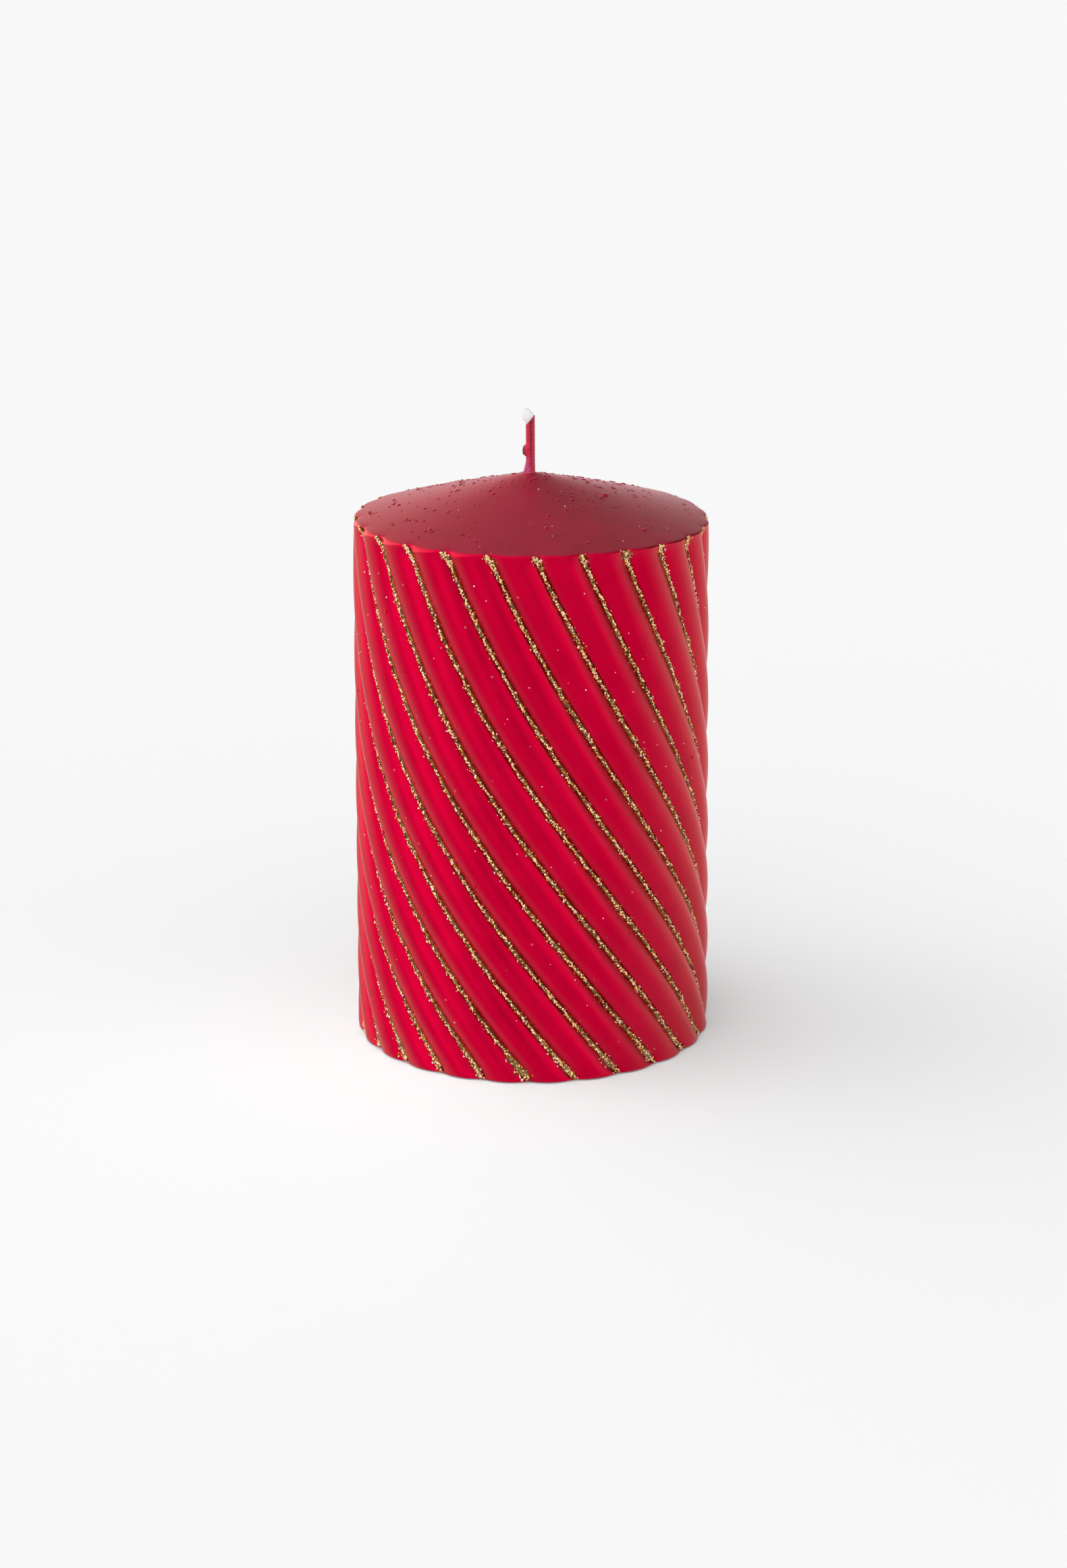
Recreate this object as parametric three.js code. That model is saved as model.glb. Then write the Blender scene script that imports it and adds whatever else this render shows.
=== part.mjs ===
// Ribbed pillar candle. A pale wax body wears a red lacquered coat with twisted ribs, each groove between
// two ribs holds a line of gold glitter glue, and a cotton wick runs down to a tin sustainer in the foot.
// Millimetres and degrees, +Z up, the origin at the middle of the foot, the front towards -Y. An angle
// round the candle counts from the front towards +X, which is anticlockwise seen from above.
import * as THREE from "three";

// Overall size, over the ribs
const footDiameter = 70;
const rimDiameter = 68.5;
const rimHeight = 103;
const coneRise = 9.3;

// Twisted ribs: each section is a round arc, and the twist quickens towards the foot
const ribCount = 24;
const ribDepth = 2;
const twistTotal = 118;
const twistRateAtRim = 79;
const twistRateAtFoot = 138;
const grooveAtFront = 1;
const runOutPerDepth = 1.8;

// Edges of the ribs, drawn in along a quarter of an ellipse
const rimEaseIn = 0.7;
const rimEaseDown = 3;
const footEaseIn = 0.4;
const footEaseUp = 1.2;

// Lacquered coat and the gap to the body inside it
const coatThickness = 0.8;
const coatLift = 0.3;
const seatGap = 0.3;

// Glitter lines
const glitterWidth = 1.3;
const glitterCrown = 0.25;
const glitterSeat = 0.15;
const glitterEndShare = 0.7;

// Wick, with the hooked bare tip that the dip didn't reach
const wickDiameter = 1.4;
const wickShowing = 12.1;
const hookRadius = 1.1;
const hookTurn = 100;
const hookTail = 0.3;

// Red dip on the wick, with a drop that set on its side
const dipWall = 0.12;
const dipGap = 0.06;
const dipHeight = 9.7;
const dipSlope = 0.8;
const dipFlare = 0.22;
const dipFlareHeight = 2.6;
const dropSize = 0.42;
const dropHeight = 3.6;
const dropSpread = 0.7;
const dropWidth = 55;

// Tin sustainer that holds the wick in a recess of the foot
const sustainerDiameter = 14;
const sustainerSheet = 0.35;
const sustainerDish = 0.3;
const sustainerLift = 0.3;
const neckHeight = 3.2;
const neckGap = 0.1;

// Faces: points along one rib, steps up the side, points round the small round forms
const outerRibPoints = 6;
const innerRibPoints = 2;
const outerSideSteps = 14;
const innerSideSteps = 7;
const easeSteps = 3;
const runOutSteps = 3;
const roundPoints = 24;
const wickPoints = 12;
const hookSteps = 7;
const dipSteps = 12;

// Sizes that follow from the ones above
const ribPitch = 360 / ribCount;
const coneHeight = rimHeight + coneRise;
const rimEdgeRadius = rimDiameter / 2 - rimEaseIn;
const ribRunOut = runOutPerDepth * ribDepth;
const bodyOffset = coatThickness + seatGap;
const sideTop = rimHeight - bodyOffset - rimEaseDown;
const wickRadius = wickDiameter / 2;
const wickHoleRadius = wickRadius + seatGap;
const neckInnerRadius = wickRadius + neckGap;
const neckOuterRadius = neckInnerRadius + sustainerSheet;
const neckTop = sustainerLift + sustainerDish + sustainerSheet + neckHeight;
const wickTipHeight = coneHeight + wickShowing;
const hookStart = wickTipHeight - wickRadius - hookRadius;

const radians = THREE.MathUtils.degToRad;

// Finishes
const waxFinish = new THREE.MeshStandardMaterial({ color: 0xf1e4d6, roughness: 0.55, metalness: 0 });
const lacquerFinish = new THREE.MeshStandardMaterial({ color: 0xc3062f, roughness: 0.38, metalness: 0.55 });
const glitterFinish = new THREE.MeshStandardMaterial({ color: 0xc79a3e, roughness: 0.3, metalness: 0.9 });
const cottonFinish = new THREE.MeshStandardMaterial({ color: 0xefecec, roughness: 0.95, metalness: 0 });
const dipFinish = new THREE.MeshStandardMaterial({ color: 0xa8203f, roughness: 0.45, metalness: 0 });
const tinFinish = new THREE.MeshStandardMaterial({ color: 0xb9bcc0, roughness: 0.35, metalness: 0.95 });

// A point at an angle, in degrees, round the candle's axis
function polar(angle, radius, height) {
  return new THREE.Vector3(radius * Math.sin(radians(angle)), -radius * Math.cos(radians(angle)), height);
}

// How far a groove has turned at a height: none at the rim, the whole twist at the foot
function twist(height) {
  const down = THREE.MathUtils.clamp(1 - height / rimHeight, 0, 1);
  const bend = 3 * twistTotal - 2 * twistRateAtRim - twistRateAtFoot;
  const cubic = twistRateAtRim + twistRateAtFoot - 2 * twistTotal;
  return twistRateAtRim * down + bend * down ** 2 + cubic * down ** 3;
}

// Slant of the grooves against the axis at a height, in radians
function grooveSlant(height) {
  const step = 0.5;
  const turn = radians(twist(height - step) - twist(height + step));
  return Math.atan((ridgeRadius(height) * turn) / (2 * step));
}

// Radius over the ribs at a height, before the edges are drawn in
function ridgeRadius(height) {
  const up = THREE.MathUtils.clamp(height / rimHeight, 0, 1);
  return THREE.MathUtils.lerp(footDiameter, rimDiameter, up) / 2;
}

// How far the ribs are drawn in near the foot and near a rim at the given height
function edgeInset(height, rim) {
  const belowFootEase = 1 - THREE.MathUtils.clamp(height / footEaseUp, 0, 1);
  const aboveRimEase = 1 - THREE.MathUtils.clamp((rim - height) / rimEaseDown, 0, 1);
  const atFoot = footEaseIn * (1 - Math.sqrt(1 - belowFootEase ** 2));
  const atRim = rimEaseIn * (1 - Math.sqrt(1 - aboveRimEase ** 2));
  return atFoot + atRim;
}

// Depth below the ridge of a rib's arc, at an angle from the groove beside it. The arc is the circle that
// touches the ridge and passes through both grooves.
function ribDrop(ridge, fromGroove) {
  const halfPitch = radians(ribPitch / 2);
  const groove = ridge - ribDepth;
  const centre = (ridge ** 2 - groove ** 2) / (2 * (ridge - groove * Math.cos(halfPitch)));
  const arc = ridge - centre;
  const fromRidge = halfPitch - radians(fromGroove);
  const reach = Math.sqrt(arc ** 2 - (centre * Math.sin(fromRidge)) ** 2);
  return ridge - centre * Math.cos(fromRidge) - reach;
}

// One ring of points round the ribs. The ribs show by their share: 1 on the side, 0 where they have run out.
function ribbedRing(height, ridge, inset, share, ribPoints) {
  const ring = [];
  for (let index = 0; index < ribCount * ribPoints; index += 1) {
    const alongRib = ((index % ribPoints) / ribPoints) * ribPitch;
    const fromGroove = Math.min(alongRib, ribPitch - alongRib);
    const angle = grooveAtFront + twist(height) + (index / ribPoints) * ribPitch;
    ring.push(polar(angle, ridge - inset - share * ribDrop(ridge, fromGroove), height));
  }
  return ring;
}

// One round ring of points, turned like the grooves at the rim
function roundRing(height, radius) {
  const ring = [];
  for (let index = 0; index < roundPoints; index += 1) {
    ring.push(polar(grooveAtFront + (index * 360) / roundPoints, radius, height));
  }
  return ring;
}

// Heights of the rings up the side, closer together where the edges are drawn in. The long stretch between
// the edges ends at one height for every skin, so that the faces of coat and body run side by side.
function sideHeights(foot, rim, sideSteps) {
  const heights = [foot, footEaseUp / 2];
  const easeStart = rim - rimEaseDown;
  for (let step = 0; step <= sideSteps; step += 1) {
    heights.push(THREE.MathUtils.lerp(footEaseUp, sideTop, step / sideSteps));
  }
  for (let step = 1; step <= easeSteps; step += 1) {
    heights.push(easeStart + rimEaseDown * Math.sin((Math.PI / 2) * (step / easeSteps)));
  }
  return heights;
}

// Rings of the ribbed body drawn in by an even offset: up the side, over the rim and along the cone until
// the ribs have run out, then one round ring where the wick comes through
function bodyRings(offset, foot, ribPoints, sideSteps, holeRadius) {
  const rim = rimHeight - offset;
  const rings = sideHeights(foot, rim, sideSteps).map((height) =>
    ribbedRing(height, ridgeRadius(height) - offset, edgeInset(height, rim), 1, ribPoints),
  );
  const coneSlope = coneRise / rimEdgeRadius;
  const edgeRadius = rimEdgeRadius - offset;
  for (let step = 1; step <= runOutSteps; step += 1) {
    const inward = (ribRunOut * step) / runOutSteps;
    const share = (1 - step / runOutSteps) ** 2;
    rings.push(ribbedRing(rim + coneSlope * inward, edgeRadius, inward, share, ribPoints));
  }
  rings.push(roundRing(rim + coneSlope * (edgeRadius - holeRadius), holeRadius));
  return rings;
}

// Faces between two rings, where one ring has as many points as the other or a whole number of times more.
// The upper ring can be entered some points round from its first.
function stitch(index, below, above, shift = 0) {
  const many = Math.max(below.count, above.count);
  const lowerAt = (step) => below.start + Math.floor((step * below.count) / many);
  const upperAt = (step) => above.start + ((Math.floor((step * above.count) / many) + shift) % above.count);
  for (let step = 0; step < many; step += 1) {
    const next = (step + 1) % many;
    const lowerNext = lowerAt(next);
    const upper = upperAt(step);
    if (lowerAt(step) !== lowerNext) index.push(lowerAt(step), lowerNext, upper);
    if (upper !== upperAt(next)) index.push(lowerNext, upperAt(next), upper);
  }
}

// A body from a list of points and the faces between them
function facedSolid(points, index) {
  const geometry = new THREE.BufferGeometry();
  geometry.setAttribute("position", new THREE.Float32BufferAttribute(points.flatMap((p) => p.toArray()), 3));
  geometry.setIndex(index);
  geometry.computeVertexNormals();
  return geometry;
}

// Stitches each ring of a stack to the next and returns where each ring's points start
function stitchStack(index, rings) {
  let start = 0;
  const spans = rings.map((ring) => {
    const span = { start, count: ring.length };
    start += ring.length;
    return span;
  });
  for (let level = 1; level < spans.length; level += 1) stitch(index, spans[level - 1], spans[level]);
  return spans;
}

// A closed body through a stack of rings with a flat cap at each end
function cappedSolid(rings) {
  const points = rings.flat();
  const index = [];
  const spans = stitchStack(index, rings);
  capRing(points, index, rings[0], spans[0], true);
  capRing(points, index, rings.at(-1), spans.at(-1), false);
  return facedSolid(points, index);
}

// A closed body through a loop of rings, whose last ring is joined back to its first. The turn is how far
// the first ring's points stand round from the last ring's.
function loopedSolid(rings, turn = 0) {
  const index = [];
  const spans = stitchStack(index, rings);
  const count = spans[0].count;
  const shift = (count - Math.round((turn / 360) * count)) % count;
  stitch(index, spans.at(-1), spans[0], shift);
  return facedSolid(rings.flat(), index);
}

// A fan of faces from the middle of a ring
function capRing(points, index, ring, span, facesBack) {
  const middle = ring.reduce((sum, point) => sum.add(point), new THREE.Vector3()).divideScalar(ring.length);
  points.push(middle);
  for (let step = 0; step < span.count; step += 1) {
    const here = span.start + step;
    const next = span.start + ((step + 1) % span.count);
    index.push(...(facesBack ? [next, here, points.length - 1] : [here, next, points.length - 1]));
  }
}

// A named piece of the candle
function piece(name, geometry, finish) {
  const mesh = new THREE.Mesh(geometry, finish);
  mesh.name = name;
  return mesh;
}

// The pale wax body: ribbed like the coat round it, with the wick's bore and the sustainer's recess
function waxBody() {
  const outside = bodyRings(bodyOffset, 0, innerRibPoints, innerSideSteps, wickHoleRadius);
  const neckBore = neckOuterRadius + seatGap;
  const recess = sustainerDiameter / 2 + seatGap;
  const recessRoof = sustainerLift + sustainerDish + sustainerSheet + seatGap;
  const bore = [
    roundRing(neckTop + seatGap, wickHoleRadius),
    roundRing(neckTop + seatGap, neckBore),
    roundRing(recessRoof, neckBore),
    roundRing(recessRoof, recess),
    roundRing(0, recess),
  ];
  return piece("wax_body", loopedSolid([...outside, ...bore], twistTotal), waxFinish);
}

// The lacquered coat: the outer ribs, the cone with the wick's hole, and the ribbed space for the body
function lacquerCoat() {
  const outside = bodyRings(0, coatLift, outerRibPoints, outerSideSteps, wickHoleRadius);
  const inside = bodyRings(coatThickness, coatLift, innerRibPoints, innerSideSteps, wickHoleRadius);
  return piece("lacquer_coat", loopedSolid([...outside, ...inside.reverse()]), lacquerFinish);
}

// One glitter line: a bead with a low crown that lies in its groove from just below the rim to the foot
function glitterLine(groove) {
  const heights = sideHeights(coatLift, rimHeight, outerSideSteps).slice(1, -1);
  const rings = heights.map((height, level) => {
    const atEnd = level === 0 || level === heights.length - 1;
    const width = (atEnd ? glitterEndShare : 1) * glitterWidth;
    const ridge = ridgeRadius(height);
    const inset = edgeInset(height, rimHeight);
    const halfAngle = THREE.MathUtils.radToDeg(width / 2 / Math.cos(grooveSlant(height)) / ridge);
    const bottom = ridge - inset - ribDepth + glitterSeat;
    const flank = ridge - inset - ribDrop(ridge, halfAngle) + glitterSeat;
    const middle = grooveAtFront + twist(height) + groove * ribPitch;
    return [
      polar(middle, bottom, height),
      polar(middle - halfAngle, flank, height),
      polar(middle, flank + glitterCrown, height),
      polar(middle + halfAngle, flank, height),
    ];
  });
  const number = String(groove + 1).padStart(2, "0");
  return piece(`glitter_line_${number}`, cappedSolid(rings), glitterFinish);
}

// A ring round the wick's path, which leans towards -X by an angle in the hook
function wickRing(centreX, centreZ, lean, radius) {
  const ring = [];
  for (let index = 0; index < wickPoints; index += 1) {
    const around = (index / wickPoints) * 2 * Math.PI;
    const across = radius * Math.cos(around);
    ring.push(
      new THREE.Vector3(
        centreX + across * Math.cos(lean),
        radius * Math.sin(around),
        centreZ + across * Math.sin(lean),
      ),
    );
  }
  return ring;
}

// The cotton wick: straight from the sustainer's underside up the candle, then hooked over at the tip
function wick() {
  const rings = [wickRing(0, sustainerLift, 0, wickRadius)];
  for (let step = 0; step <= hookSteps; step += 1) {
    const lean = radians((hookTurn * step) / hookSteps);
    const centreX = -hookRadius * (1 - Math.cos(lean));
    rings.push(wickRing(centreX, hookStart + hookRadius * Math.sin(lean), lean, wickRadius));
  }
  const lean = radians(hookTurn);
  const tailX = -hookRadius * (1 - Math.cos(lean)) - hookTail * Math.sin(lean);
  const tailZ = hookStart + hookRadius * Math.sin(lean) + hookTail * Math.cos(lean);
  rings.push(wickRing(tailX, tailZ, lean, wickRadius));
  return piece("wick", cappedSolid(rings), cottonFinish);
}

// The red dip on the wick: a thin sleeve with a flared foot, a slanting upper edge and a drop on its side
function wickDipCoat() {
  const inner = wickRadius + dipGap;
  const outside = [];
  for (let step = 0; step <= dipSteps; step += 1) {
    const up = step / dipSteps;
    const above = up * dipHeight;
    const flare = dipFlare * Math.max(0, 1 - above / dipFlareHeight) ** 2;
    outside.push(dipRing(above, up, (around) => inner + dipWall + flare + drop(around, above)));
  }
  const inside = [dipRing(dipHeight, 1, () => inner), dipRing(0, 0, () => inner)];
  return piece("wick_dip_coat", loopedSolid([...outside, ...inside]), dipFinish);
}

// A ring of the sleeve at a height above the cone's point. Its upper edge slants up towards +X.
function dipRing(above, up, radiusAt) {
  const ring = [];
  for (let index = 0; index < wickPoints; index += 1) {
    const around = (index / wickPoints) * 2 * Math.PI;
    const radius = radiusAt(around);
    const slant = up ** 2 * dipSlope * Math.cos(around);
    const height = coneHeight + above + slant;
    ring.push(new THREE.Vector3(radius * Math.cos(around), radius * Math.sin(around), height));
  }
  return ring;
}

// How far the drop on the -X side stands out, at an angle round the wick and a height above the cone's point
function drop(around, above) {
  const aside = Math.abs(around - Math.PI) / radians(dropWidth);
  const away = Math.abs(above - dropHeight) / dropSpread;
  return dropSize * Math.exp(-(aside ** 2) - away ** 2);
}

// The tin sustainer: a dished disc with a neck pinched round the wick
function wickSustainer() {
  const edge = sustainerDiameter / 2;
  const dishTop = sustainerLift + sustainerDish;
  const dishRadius = edge / 2;
  const profile = [
    [neckInnerRadius, dishTop],
    [dishRadius, dishTop],
    [edge, sustainerLift],
    [edge, sustainerLift + sustainerSheet],
    [dishRadius, dishTop + sustainerSheet],
    [neckOuterRadius, dishTop + sustainerSheet],
    [neckOuterRadius, neckTop],
    [neckInnerRadius, neckTop],
  ];
  const rings = profile.map(([radius, height]) => roundRing(height, radius));
  return piece("wick_sustainer", loopedSolid(rings), tinFinish);
}

// The whole candle
const candle = new THREE.Group();
candle.add(waxBody(), lacquerCoat(), wick(), wickDipCoat(), wickSustainer());
for (let groove = 0; groove < ribCount; groove += 1) candle.add(glitterLine(groove));

export default candle;
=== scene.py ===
"""Ribbed pillar candle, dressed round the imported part: red lacquered coat with twisted ribs, gold glitter
lines, pale wax core, cotton wick with a red dip, and the tin sustainer under the foot.

Metres, +Z up, origin at the middle of the foot, front towards -Y. An angle round the candle counts from
the front towards +X, which is anticlockwise seen from above."""
import math

import bmesh
import bpy
import numpy as np
from mathutils import Matrix, Vector


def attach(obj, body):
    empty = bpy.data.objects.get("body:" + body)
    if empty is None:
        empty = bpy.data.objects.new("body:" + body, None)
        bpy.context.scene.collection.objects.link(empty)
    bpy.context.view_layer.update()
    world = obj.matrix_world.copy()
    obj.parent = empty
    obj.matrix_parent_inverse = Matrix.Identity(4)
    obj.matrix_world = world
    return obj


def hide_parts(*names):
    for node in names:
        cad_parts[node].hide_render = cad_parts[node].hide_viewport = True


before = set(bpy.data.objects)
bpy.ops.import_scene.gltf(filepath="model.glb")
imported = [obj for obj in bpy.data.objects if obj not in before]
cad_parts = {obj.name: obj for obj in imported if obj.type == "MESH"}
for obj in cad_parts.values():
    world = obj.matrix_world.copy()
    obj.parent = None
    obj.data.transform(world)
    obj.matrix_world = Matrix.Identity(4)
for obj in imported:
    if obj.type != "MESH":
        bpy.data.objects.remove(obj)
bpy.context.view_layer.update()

MM = 0.001
FULL_TURN = 2 * math.pi

# Driving sizes, as in the part
FOOT_RADIUS = 35 * MM
RIM_RADIUS = 34.25 * MM
RIM_HEIGHT = 103 * MM
CONE_RISE = 9.3 * MM
RIB_COUNT = 24
RIB_DEPTH = 2 * MM
TWIST_AT_RIM = 79
TWIST_GAIN = 58
TWIST_EASE = -19
GROOVE_AT_FRONT = math.radians(1)
RIB_RUN_OUT = 3.6 * MM
RIM_EASE_IN = 0.4 * MM
FOOT_EASE_IN = 0.4 * MM
FOOT_EASE_UP = 1.2 * MM
COAT_THICKNESS = 0.8 * MM
COAT_LIFT = 0.3 * MM
SEAT_GAP = 0.3 * MM
WICK_RADIUS = 0.7 * MM

# Sizes that follow
RIB_PITCH = math.radians(360 / RIB_COUNT)
HALF_PITCH = RIB_PITCH / 2
RIM_EDGE = RIM_RADIUS - RIM_EASE_IN
CONE_SLOPE = CONE_RISE / RIM_EDGE
CONE_HEIGHT = RIM_HEIGHT + CONE_RISE
WICK_HOLE = WICK_RADIUS + SEAT_GAP
CORE_OFFSET = COAT_THICKNESS + SEAT_GAP


def new_object(name, data):
    made = bpy.data.objects.new(name, data)
    bpy.context.scene.collection.objects.link(made)
    return made


# The camera of the photograph

LENS = 83.1
SENSOR_WIDTH = 36
CLIP_START = 0.05
CLIP_END = 50
CAMERA_BACK = 680.2 * MM
CAMERA_UP = 262.4 * MM
CAMERA_ASIDE = 0.3 * MM
CAMERA_PITCH = math.radians(17.384)
CAMERA_ROLL = math.radians(-0.26)


def photo_camera():
    optics = bpy.data.cameras.new("photo_camera")
    optics.lens = LENS
    optics.sensor_width = SENSOR_WIDTH
    optics.clip_start = CLIP_START
    optics.clip_end = CLIP_END
    camera = new_object("photo_camera", optics)
    tilt = Matrix.Rotation(math.pi / 2 - CAMERA_PITCH, 4, "X") @ Matrix.Rotation(CAMERA_ROLL, 4, "Z")
    camera.matrix_world = Matrix.Translation((CAMERA_ASIDE, -CAMERA_BACK, CAMERA_UP)) @ tilt
    bpy.context.scene.camera = camera


photo_camera()


# Form of the ribs

# The grooves are filled towards the foot and the rim
FOOT_POOL = 3 * MM
FOOT_FILL = 0.65
RIM_POOL = 2.6 * MM
RIM_FILL = 0.72

# The rim is lifted above this height, less towards the right and towards the back
RIM_LIFT = 0.8 * MM
LIFT_FOOT = 60 * MM
LIFT_RISE = 43 * MM
LIFT_FADES_FROM = 8 * MM
LIFT_FADE = 26 * MM
LIFT_BACK = 30 * MM
LIFT_LOST_BEHIND = 0.6

SLANT_STEP = 0.5 * MM


def turn_at(height):
    """How far the grooves have turned, in radians: nothing at the rim, the whole twist at the foot."""
    down = np.clip(1 - height / RIM_HEIGHT, 0, 1)
    return np.radians(TWIST_AT_RIM * down + TWIST_GAIN * down**2 + TWIST_EASE * down**3)


def groove_angle(height):
    """Where the front groove stands round the candle at a height."""
    return GROOVE_AT_FRONT + turn_at(height)


def ridge_at(height):
    """Radius over the ribs at a height, before the edges are drawn in."""
    up = np.clip(height / RIM_HEIGHT, 0, 1)
    return FOOT_RADIUS + (RIM_RADIUS - FOOT_RADIUS) * up


def arc_centre(ridge):
    """Distance from the axis to the middle of the round arc that touches the ridge and both grooves."""
    groove = ridge - RIB_DEPTH
    return (ridge**2 - groove**2) / (2 * (ridge - groove * math.cos(HALF_PITCH)))


def rib_radius(ridge, from_ridge):
    """Radius of a rib's arc at an angle from its ridge line."""
    centre = arc_centre(ridge)
    reach = np.sqrt((ridge - centre) ** 2 - (centre * np.sin(from_ridge)) ** 2)
    return centre * np.cos(from_ridge) + reach


def rib_share(height):
    """Share of the ribs' depth that shows at a height."""
    foot = np.clip(1 - height / FOOT_POOL, 0, 1)
    rim = np.clip(1 - (RIM_HEIGHT - height) / RIM_POOL, 0, 1)
    return (1 - FOOT_FILL * foot**2) * (1 - RIM_FILL * rim**2)


def rim_lift(points):
    """How far the rim stands above its planned height: most on the left and in front, none on the right."""
    x, y, z = points.T
    right = np.clip((x - LIFT_FADES_FROM) / LIFT_FADE, 0, 1)
    up = np.clip((z - LIFT_FOOT) / LIFT_RISE, 0, 1)
    out = np.clip(np.hypot(x, y) / RIM_EDGE, 0, 1)
    back = np.clip(y / LIFT_BACK, 0, 1)
    return RIM_LIFT * (1 - right**2) * (1 - LIFT_LOST_BEHIND * back**2) * up**2 * (3 - 2 * up) * out


def quarter_ease(depth, share):
    """How far an edge is drawn in along a quarter of an ellipse, for a share of 1 at the edge, 0 inside."""
    return depth * (1 - np.sqrt(1 - np.clip(share, 0, 1) ** 2))


def wall_radius(height, offset):
    """Radius of a shell's crests: an offset inside the ribs, and drawn in at the foot's edge."""
    return ridge_at(height) - offset - quarter_ease(FOOT_EASE_IN, 1 - height / FOOT_EASE_UP)


def groove_slant(height):
    """Slant of the grooves against the axis, in radians."""
    turned = turn_at(height - SLANT_STEP) - turn_at(height + SLANT_STEP)
    return np.arctan(ridge_at(height) * turned / (2 * SLANT_STEP))


def polar(angle, radius, height):
    """Points round the candle, one row each."""
    angle, radius, height = np.broadcast_arrays(angle, radius, height)
    return np.stack([radius * np.sin(angle), -radius * np.cos(angle), height], axis=-1)


# Modelling by hand: the newest ring of a piece is selected, extruded, turned and drawn in

def new_edit(name, add, **values):
    """Adds a primitive with all else deselected, keeps its place in its mesh and opens it in edit mode."""
    bpy.ops.object.select_all(action="DESELECT")
    add(**values)
    made = bpy.context.object
    made.name = name
    made.data.name = name
    bpy.ops.object.transform_apply(location=True, rotation=True, scale=True)
    bpy.ops.object.mode_set(mode="EDIT")
    bpy.ops.mesh.select_mode(type="VERT")
    return made


def edit_mesh():
    return bmesh.from_edit_mesh(bpy.context.object.data)


def select_whole():
    bpy.ops.mesh.select_all(action="SELECT")


def select_points(wanted):
    """Selects the points that the test wants, and the edges and faces between them."""
    bpy.ops.mesh.select_all(action="DESELECT")
    mesh = edit_mesh()
    for point in mesh.verts:
        if wanted(point.co):
            point.select_set(True)
    mesh.select_flush_mode()
    bmesh.update_edit_mesh(bpy.context.object.data)


def ring_points():
    return [point for point in edit_mesh().verts if point.select]


def ring_radius():
    points = ring_points()
    return sum(math.hypot(point.co.x, point.co.y) for point in points) / len(points)


def extrude_up(rise):
    bpy.ops.mesh.extrude_region_move(TRANSFORM_OT_translate={"value": (0, 0, rise)})


def stretch(across, deep, high, middle=(0, 0, 0)):
    bpy.ops.transform.resize(value=(across, deep, high), center_override=middle)


def draw_in(share, middle=(0, 0, 0)):
    stretch(share, share, 1, middle)


def turn_ring(angle, middle=(0, 0, 0)):
    bpy.ops.transform.rotate(value=-angle, orient_axis="Z", center_override=middle)


def climb(heights, radius_at, *given):
    """Extrudes the selected ring through heights, drawn in to each one's radius and turned with the ribs."""
    for below, above in zip(heights[:-1], heights[1:]):
        extrude_up(above - below)
        draw_in(radius_at(above, *given) / radius_at(below, *given))
        turn_ring(turn_at(above) - turn_at(below))


def profile(points):
    """Extrudes the selected round ring through a list of radii and heights."""
    height = ring_points()[0].co.z
    for radius, above in points:
        extrude_up(above - height)
        draw_in(radius / ring_radius())
        height = above


def thicken(shell, wall):
    """Turns an open shell's faces outwards and gives it a wall on the inside."""
    select_whole()
    bpy.ops.mesh.normals_make_consistent(inside=False)
    bpy.ops.object.mode_set(mode="OBJECT")
    modifier = shell.modifiers.new("wall", "SOLIDIFY")
    modifier.thickness = wall
    modifier.offset = -1
    bpy.ops.object.modifier_apply(modifier=modifier.name)


def finish_piece(piece, smooth_angle):
    """Merges doubled points, points the faces outwards, smooths the piece and rests it at the origin."""
    bpy.ops.object.mode_set(mode="EDIT")
    select_whole()
    bpy.ops.mesh.remove_doubles(threshold=0.001 * MM)
    bpy.ops.mesh.normals_make_consistent(inside=False)
    bpy.ops.object.mode_set(mode="OBJECT")
    bpy.ops.object.transform_apply(location=True, rotation=True, scale=True)
    bpy.ops.object.shade_smooth_by_angle(angle=math.radians(smooth_angle))


def mesh_points(piece):
    points = np.empty(len(piece.data.vertices) * 3)
    piece.data.vertices.foreach_get("co", points)
    return points.reshape(-1, 3)


def move_points(piece, points):
    piece.data.vertices.foreach_set("co", points.astype(np.float32).ravel())
    piece.data.update()


def split_lacquer(piece):
    """Gives the faces above the rim the second material: on the coat the duller lacquer of the cone, on the
    crumbs their darker lacquer, which is painted shade.
    """
    for face in piece.data.polygons:
        face.material_index = int(face.center.z > RIM_HEIGHT + 0.005 * MM)


def lift_rim(piece):
    """Raises a finished piece's points with the uneven rim."""
    points = mesh_points(piece)
    points[:, 2] += rim_lift(points)
    move_points(piece, points)


def flatten_foot(piece, height):
    """Brings the points of a finished piece that lie lower up to its foot."""
    points = mesh_points(piece)
    points[:, 2] = np.maximum(points[:, 2], height)
    move_points(piece, points)


def choose(pieces):
    """Selects these pieces alone, with the first one active."""
    bpy.ops.object.select_all(action="DESELECT")
    for piece in pieces:
        piece.select_set(True)
    bpy.context.view_layer.objects.active = pieces[0]


def join_pieces(pieces, name):
    choose(pieces)
    bpy.ops.object.join()
    pieces[0].name = name
    return pieces[0]


def dress(piece, slot, nodes, *materials):
    """Gives a piece its materials and its body, and hides the imported parts of the nodes that it stands for;
    the slot is not used.
    """
    for material in materials:
        piece.data.materials.append(material)
    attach(piece, "root")
    if nodes:
        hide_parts(*nodes)


# Node helpers for the materials: a value is a plain one or another node's output

def put(tree, socket, value):
    if isinstance(value, bpy.types.NodeSocket):
        tree.links.new(value, socket)
    else:
        socket.default_value = value


def feed(tree, node, **values):
    """Fills a node's inputs by name, with an underscore for a space."""
    for name, value in values.items():
        put(tree, node.inputs[name.replace("_", " ")], value)


def add_node(tree, kind, values=None, **settings):
    """Adds a node with its settings, and fills its inputs by name or by number."""
    node = tree.nodes.new(kind)
    for name, value in settings.items():
        setattr(node, name, value)
    for socket, value in (values or {}).items():
        put(tree, node.inputs[socket], value)
    return node


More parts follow.
